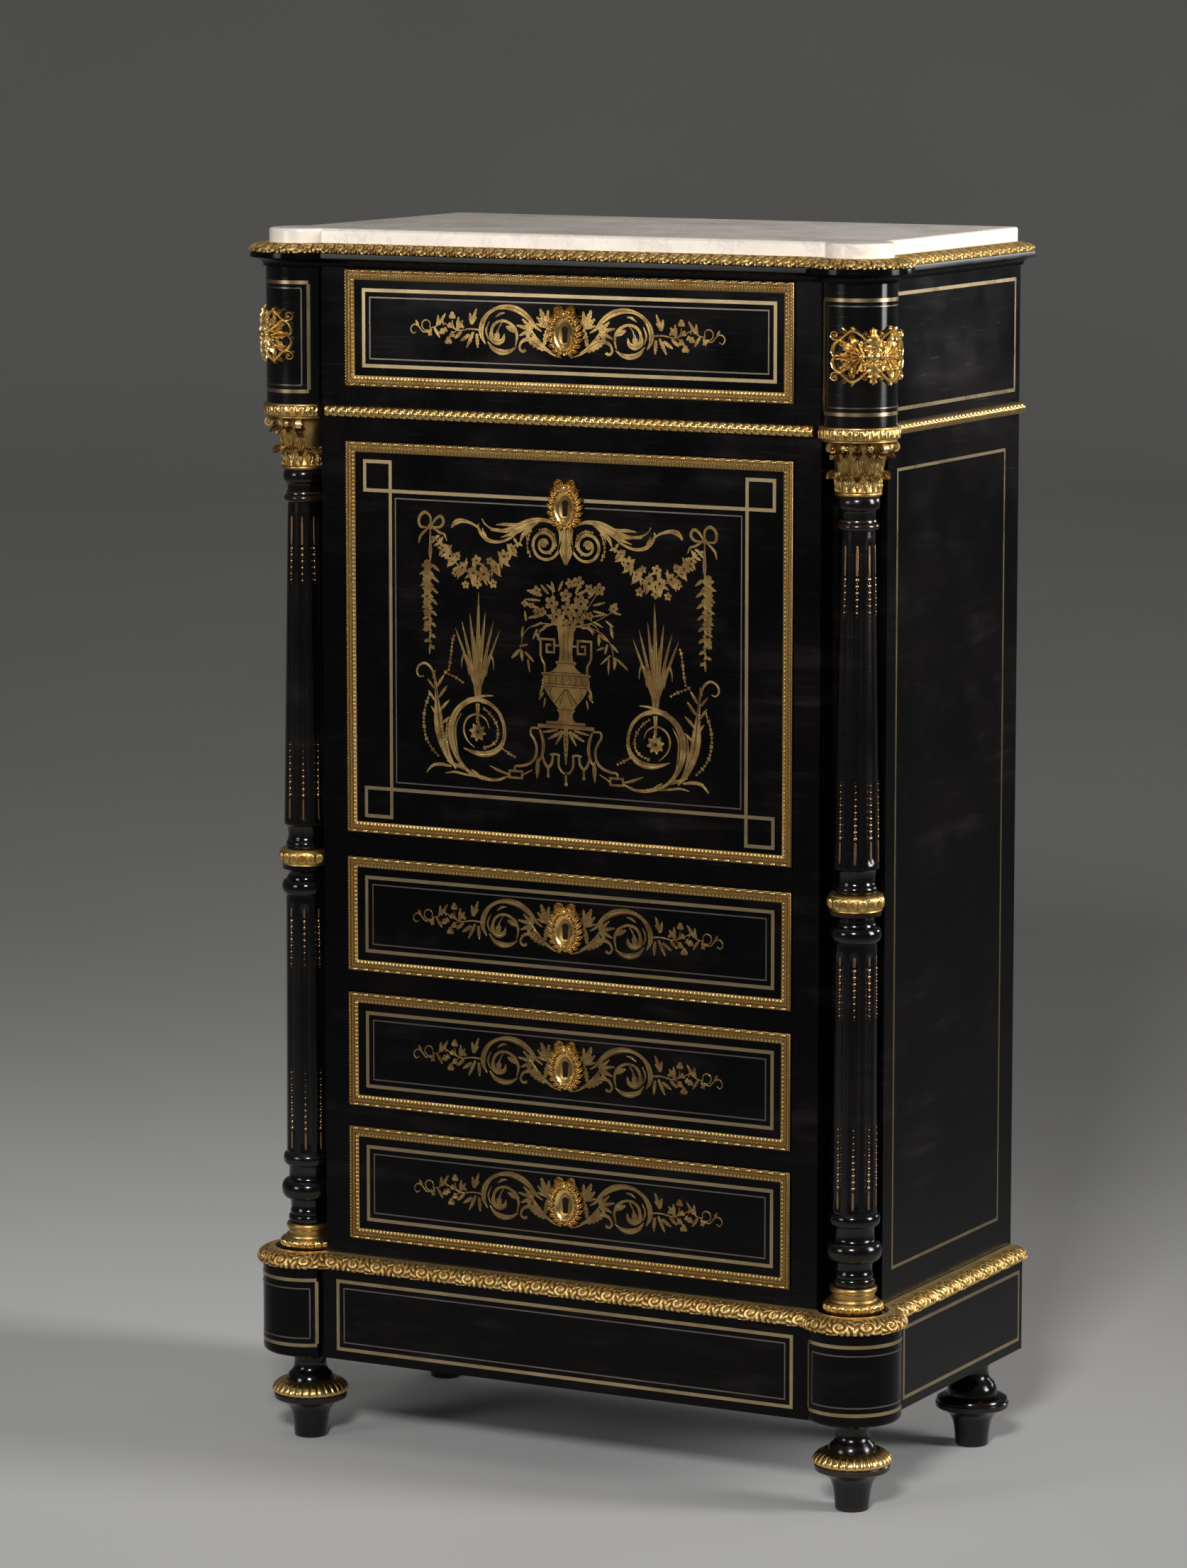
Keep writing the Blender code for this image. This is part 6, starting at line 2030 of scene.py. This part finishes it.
    stems = (
        ((0, 962), (-14, 990), (-18, 1010)), ((4, 962), (12, 995), (16, 1016)),
        ((8, 964), (26, 985), (42, 1008)), ((-8, 964), (-26, 978), (-50, 990)),
        ((-10, 966), (-34, 966), (-52, 956), (-58, 934)), ((10, 964), (36, 972), (58, 984)),
        ((10, 966), (40, 962), (56, 948), (60, 930)), ((-12, 968), (-30, 960), (-36, 948)),
        ((12, 966), (36, 968), (44, 950)),
    )
    # Leaves: place, turn in degrees, length, width and bend
    bouquet_leaves = (
        (-30, 998, 160, 20, 8.0, 2.0), (-22, 1000, 130, 14, 5.4, 1.0),
        (-15, 1002, 100, 13, 5.6, 1.0), (-14, 1003, 140, 13, 5.0, 1.0),
        (-9, 1004, 70, 13, 5.0, -1.0), (12, 1002, 62, 12, 5.0, 0.0), (14, 1001, 20, 15, 5.0, 1.0),
        (28, 998, 40, 14, 5.6, 1.0), (34, 990, 12, 16, 4.4, 1.0), (34, 984, -8, 18, 4.4, -1.0),
        (36, 978, 10, 15, 4.0, 1.0), (34, 972, -20, 14, 4.2, -1.0), (28, 968, -60, 13, 4.6, 0.0),
        (24, 966, -30, 14, 4.4, 1.0), (-32, 992, 175, 20, 4.4, 1.0), (-34, 984, 168, 18, 4.2, 1.0),
        (-30, 976, 190, 18, 6.0, 1.0), (-30, 968, 205, 14, 4.0, 0.0), (-50, 968, 100, 12, 4.6, 0.0),
        (-54, 962, -100, 12, 4.6, 0.0), (-38, 958, -70, 13, 5.0, 1.0),
        (-36, 960, -120, 13, 5.0, 1.0), (-34, 958, 20, 10, 4.0, 1.0), (-48, 942, 190, 11, 3.6, 0.0),
        (-58, 936, -140, 15, 6.6, 1.0), (-56, 936, -90, 13, 6.0, 1.0),
        (-52, 934, -36, 16, 4.2, -2.0), (-48, 926, -84, 15, 4.0, 1.0), (54, 986, 48, 11, 4.6, 0.0),
        (58, 984, -12, 12, 4.2, 0.0), (62, 986, 82, 9, 4.0, 0.0), (50, 974, -40, 12, 4.0, 1.0),
        (56, 968, -82, 14, 5.6, 1.0), (42, 958, -36, 13, 5.4, 1.0), (41, 958, -84, 13, 5.0, -1.0),
        (52, 948, -110, 12, 4.6, 1.0), (57, 948, -50, 12, 4.6, 1.0), (48, 944, -160, 10, 3.6, 0.0),
        (62, 934, -100, 14, 6.6, 1.0), (64, 932, -34, 18, 4.6, -2.0), (56, 936, -142, 17, 4.0, 1.0),
        (54, 932, -98, 18, 3.8, 2.0), (-20, 966, -160, 10, 4.4, 0.0), (20, 964, 10, 10, 4.4, 0.0),
    )
    bouquet_flowers = (
        (-12, 975, 10.5, 6, 0), (5, 967, 9.0, 6, 20), (17, 976, 9.0, 5, 10), (3, 984, 9.4, 6, 40),
        (-18, 990, 9.0, 5, 0), (19, 991, 10.6, 6, 25), (0, 999, 8.0, 5, 15), (-3, 966, 7.0, 5, 50),
        (16, 1015, 7.4, 5, 0), (5, 1013, 6.0, 5, 35), (29, 1008, 6.2, 5, 60),
        (42, 1008, 7.6, 5, 20), (-37, 1003, 6.0, 4, 10), (-52, 988, 4.4, 4, 0),
        (-43, 986, 3.8, 4, 45), (-38, 980, 3.6, 4, 0), (-30, 980, 5.4, 5, 0), (60, 988, 5.6, 5, 0),
        (30, 978, 5.6, 5, 0),
    )

    def bouquet(self):
        """Stems, leaves and flowers that stand in the urn."""
        for points in self.stems:
            self.line(points, (1.6, 1.2, 1.0), 18)
        self.leaves(*self.bouquet_leaves)
        for x, z, size, petals, turn in self.bouquet_flowers:
            flower(self.kit, self.place, x, z, size, self.high + 0.08, petals, turn)
            disc(self.cuts, self.place, x, z, size * 0.19, self.high + 0.26, sides=8)
            if size > 7:
                stroke(self.cuts, self.place, spiral(x, z, size * 0.5, size * 0.42, turn, turn + 250, 16),
                       (0.5,), self.high + 0.22)


class SECRETAIRE_OT_writing_surface(bpy.types.Operator):
    """Polished inner face of the fall with its leather lining"""

    bl_idname = "secretaire.writing_surface"
    bl_label = "Writing surface"
    bl_options = {"REGISTER", "UNDO"}

    def execute(self, context):
        low, high = span("fall_board")
        back = lambda p, q, h: on_front(p, q, -(high.y + h))
        kit = Kit()
        frame_line(kit, back, low.x + 26.0, high.x - 26.0, low.z + 29.0, high.z - 26.0, 48.0, 0.25)
        kit.piece("fall_border", "fall", inner_wood(), "inner_wood")
        kit = Kit()
        bar(kit, back, low.x + 50.4, high.x - 50.4, low.z + 53.4, high.z - 50.4, 0.4)
        kit.piece("fall_lining", "fall", lining(), "inner_wood")
        kit = Kit()
        frame_line(kit, back, low.x + 60.0, high.x - 60.0, low.z + 63.0, high.z - 60.0, 2.0, 0.52)
        kit.piece("fall_lining_gilt_line", "fall", brass(), "gilt_bronze")
        return {"FINISHED"}


class SECRETAIRE_OT_stage(bpy.types.Operator):
    """Pale floor and backdrop, soft lights and the camera"""

    bl_idname = "secretaire.stage"
    bl_label = "Stage, light and camera"
    bl_options = {"REGISTER", "UNDO"}

    camera_place = (3.0779, -5.9026, 1.7287)
    camera_target = (0.0345, -0.1807, 0.7911)
    lens = 135.6
    # Lights: place, target, width and height in metres, spread in degrees
    lamps = (
        ("key", (3.6, 0.75, 2.1), (0.0, 0.0, 1.15), (1.1, 2.3), 50.0),
        ("fill", (-2.9, -5.2, 2.0), (0.0, 0.0, 0.75), (1.6, 1.3), 60.0),
        ("front", (1.6, -4.4, 3.0), (0.0, -0.2, 1.1), (0.9, 0.7), 60.0),
        ("back", (2.8, 4.8, 1.9), (0.2, -0.1, 1.3), (1.4, 1.0), 30.0),
        ("top", (-0.6, -0.6, 4.4), (0.0, 0.0, 0.75), (2.4, 2.4), 90.0),
    )
    floor_radius, sweep_radius, wall_height = 12.0, 3.0, 9.0
    floor_sides = 72

    def execute(self, context):
        scene = context.scene
        stage = scene.secretaire_stage
        self.ground()
        for name, *values in self.lamps:
            self.lamp(name + "_light", *values, getattr(stage, name))
        world = bpy.data.worlds.new("even_light")
        world.use_nodes = True
        back = world.node_tree.nodes["Background"]
        back.inputs["Color"].default_value = (1.0, 0.99, 0.975, 1.0)
        back.inputs["Strength"].default_value = stage.ambient
        scene.world = world
        scene.view_settings.view_transform = "Standard"
        data = bpy.data.cameras.new("photo_view")
        data.lens = self.lens
        data.sensor_width = 36.0
        data.clip_end = 60.0
        camera = bpy.data.objects.new("photo_view", data)
        camera.location = self.camera_place
        look = Vector(self.camera_target) - Vector(self.camera_place)
        camera.rotation_euler = look.to_track_quat("-Z", "Y").to_euler()
        scene.collection.objects.link(camera)
        scene.camera = camera
        return {"FINISHED"}

    def lamp(self, name, place, target, size, spread, power):
        data = bpy.data.lights.new(name, "AREA")
        data.shape = "RECTANGLE"
        data.size, data.size_y = size
        data.spread = radians(spread)
        data.energy = power
        lamp = bpy.data.objects.new(name, data)
        lamp.location = place
        lamp.rotation_euler = (Vector(target) - Vector(place)).to_track_quat("-Z", "Y").to_euler()
        bpy.context.scene.collection.objects.link(lamp)

    def ground(self):
        """A round floor that sweeps up into a backdrop on every side."""
        reach, bend, sides = self.floor_radius, self.sweep_radius, self.floor_sides
        steps = [(2.0, 0.0), (6.0, 0.0), (reach, 0.0)]
        steps += [(reach + bend * sin(a), bend - bend * cos(a)) for a in np.linspace(0.15, pi / 2, 10)]
        steps.append((reach + bend, self.wall_height))
        verts = [(r * cos(2 * pi * k / sides), r * sin(2 * pi * k / sides), z)
                 for r, z in steps for k in range(sides)]
        faces = [list(range(sides))]
        for row in range(len(steps) - 1):
            for k in range(sides):
                a, b = row * sides + k, row * sides + (k + 1) % sides
                faces.append([b, a, a + sides, b + sides])
        mesh = bpy.data.meshes.new("floor_and_backdrop")
        mesh.from_pydata(verts, [], faces)
        mesh.shade_smooth()
        mesh.materials.append(pale_ground())
        floor = bpy.data.objects.new("floor_and_backdrop", mesh)
        bpy.context.scene.collection.objects.link(floor)


class SECRETAIRE_PT_pieces(bpy.types.Panel):
    """Lists the settings and the operators"""

    bl_idname = "SECRETAIRE_PT_pieces"
    bl_label = "Secretaire"
    bl_space_type = "VIEW_3D"
    bl_region_type = "UI"
    bl_category = "Secretaire"

    def draw(self, context):
        layout = self.layout
        for operator in OPERATORS:
            layout.operator(operator.bl_idname)
        for group in ("secretaire_finish", "secretaire_sizes", "secretaire_stage"):
            settings = getattr(context.scene, group)
            box = layout.box()
            for name in settings.__annotations__:
                box.prop(settings, name)


GROUPS = (
    ("secretaire_finish", SecretaireFinish),
    ("secretaire_sizes", SecretaireSizes),
    ("secretaire_stage", SecretaireStage),
)
OPERATORS = (
    SECRETAIRE_OT_stage,
    SECRETAIRE_OT_panels,
    SECRETAIRE_OT_columns,
    SECRETAIRE_OT_blocks,
    SECRETAIRE_OT_marble,
    SECRETAIRE_OT_bands,
    SECRETAIRE_OT_rings,
    SECRETAIRE_OT_capitals,
    SECRETAIRE_OT_mounts,
    SECRETAIRE_OT_frames,
    SECRETAIRE_OT_plates,
    SECRETAIRE_OT_strings,
    SECRETAIRE_OT_drawer_marquetry,
    SECRETAIRE_OT_fall_marquetry,
    SECRETAIRE_OT_writing_surface,
)


def register():
    for name, group in GROUPS:
        bpy.utils.register_class(group)
        setattr(bpy.types.Scene, name, PointerProperty(type=group))
    for item in (*OPERATORS, SECRETAIRE_PT_pieces):
        bpy.utils.register_class(item)


def unregister():
    for item in reversed((*OPERATORS, SECRETAIRE_PT_pieces)):
        bpy.utils.unregister_class(item)
    for name, group in reversed(GROUPS):
        delattr(bpy.types.Scene, name)
        bpy.utils.unregister_class(group)


def main():
    register()
    for operator in OPERATORS:
        module, name = operator.bl_idname.split(".")
        getattr(getattr(bpy.ops, module), name)()
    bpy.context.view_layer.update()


if __name__ == "__main__":
    main()
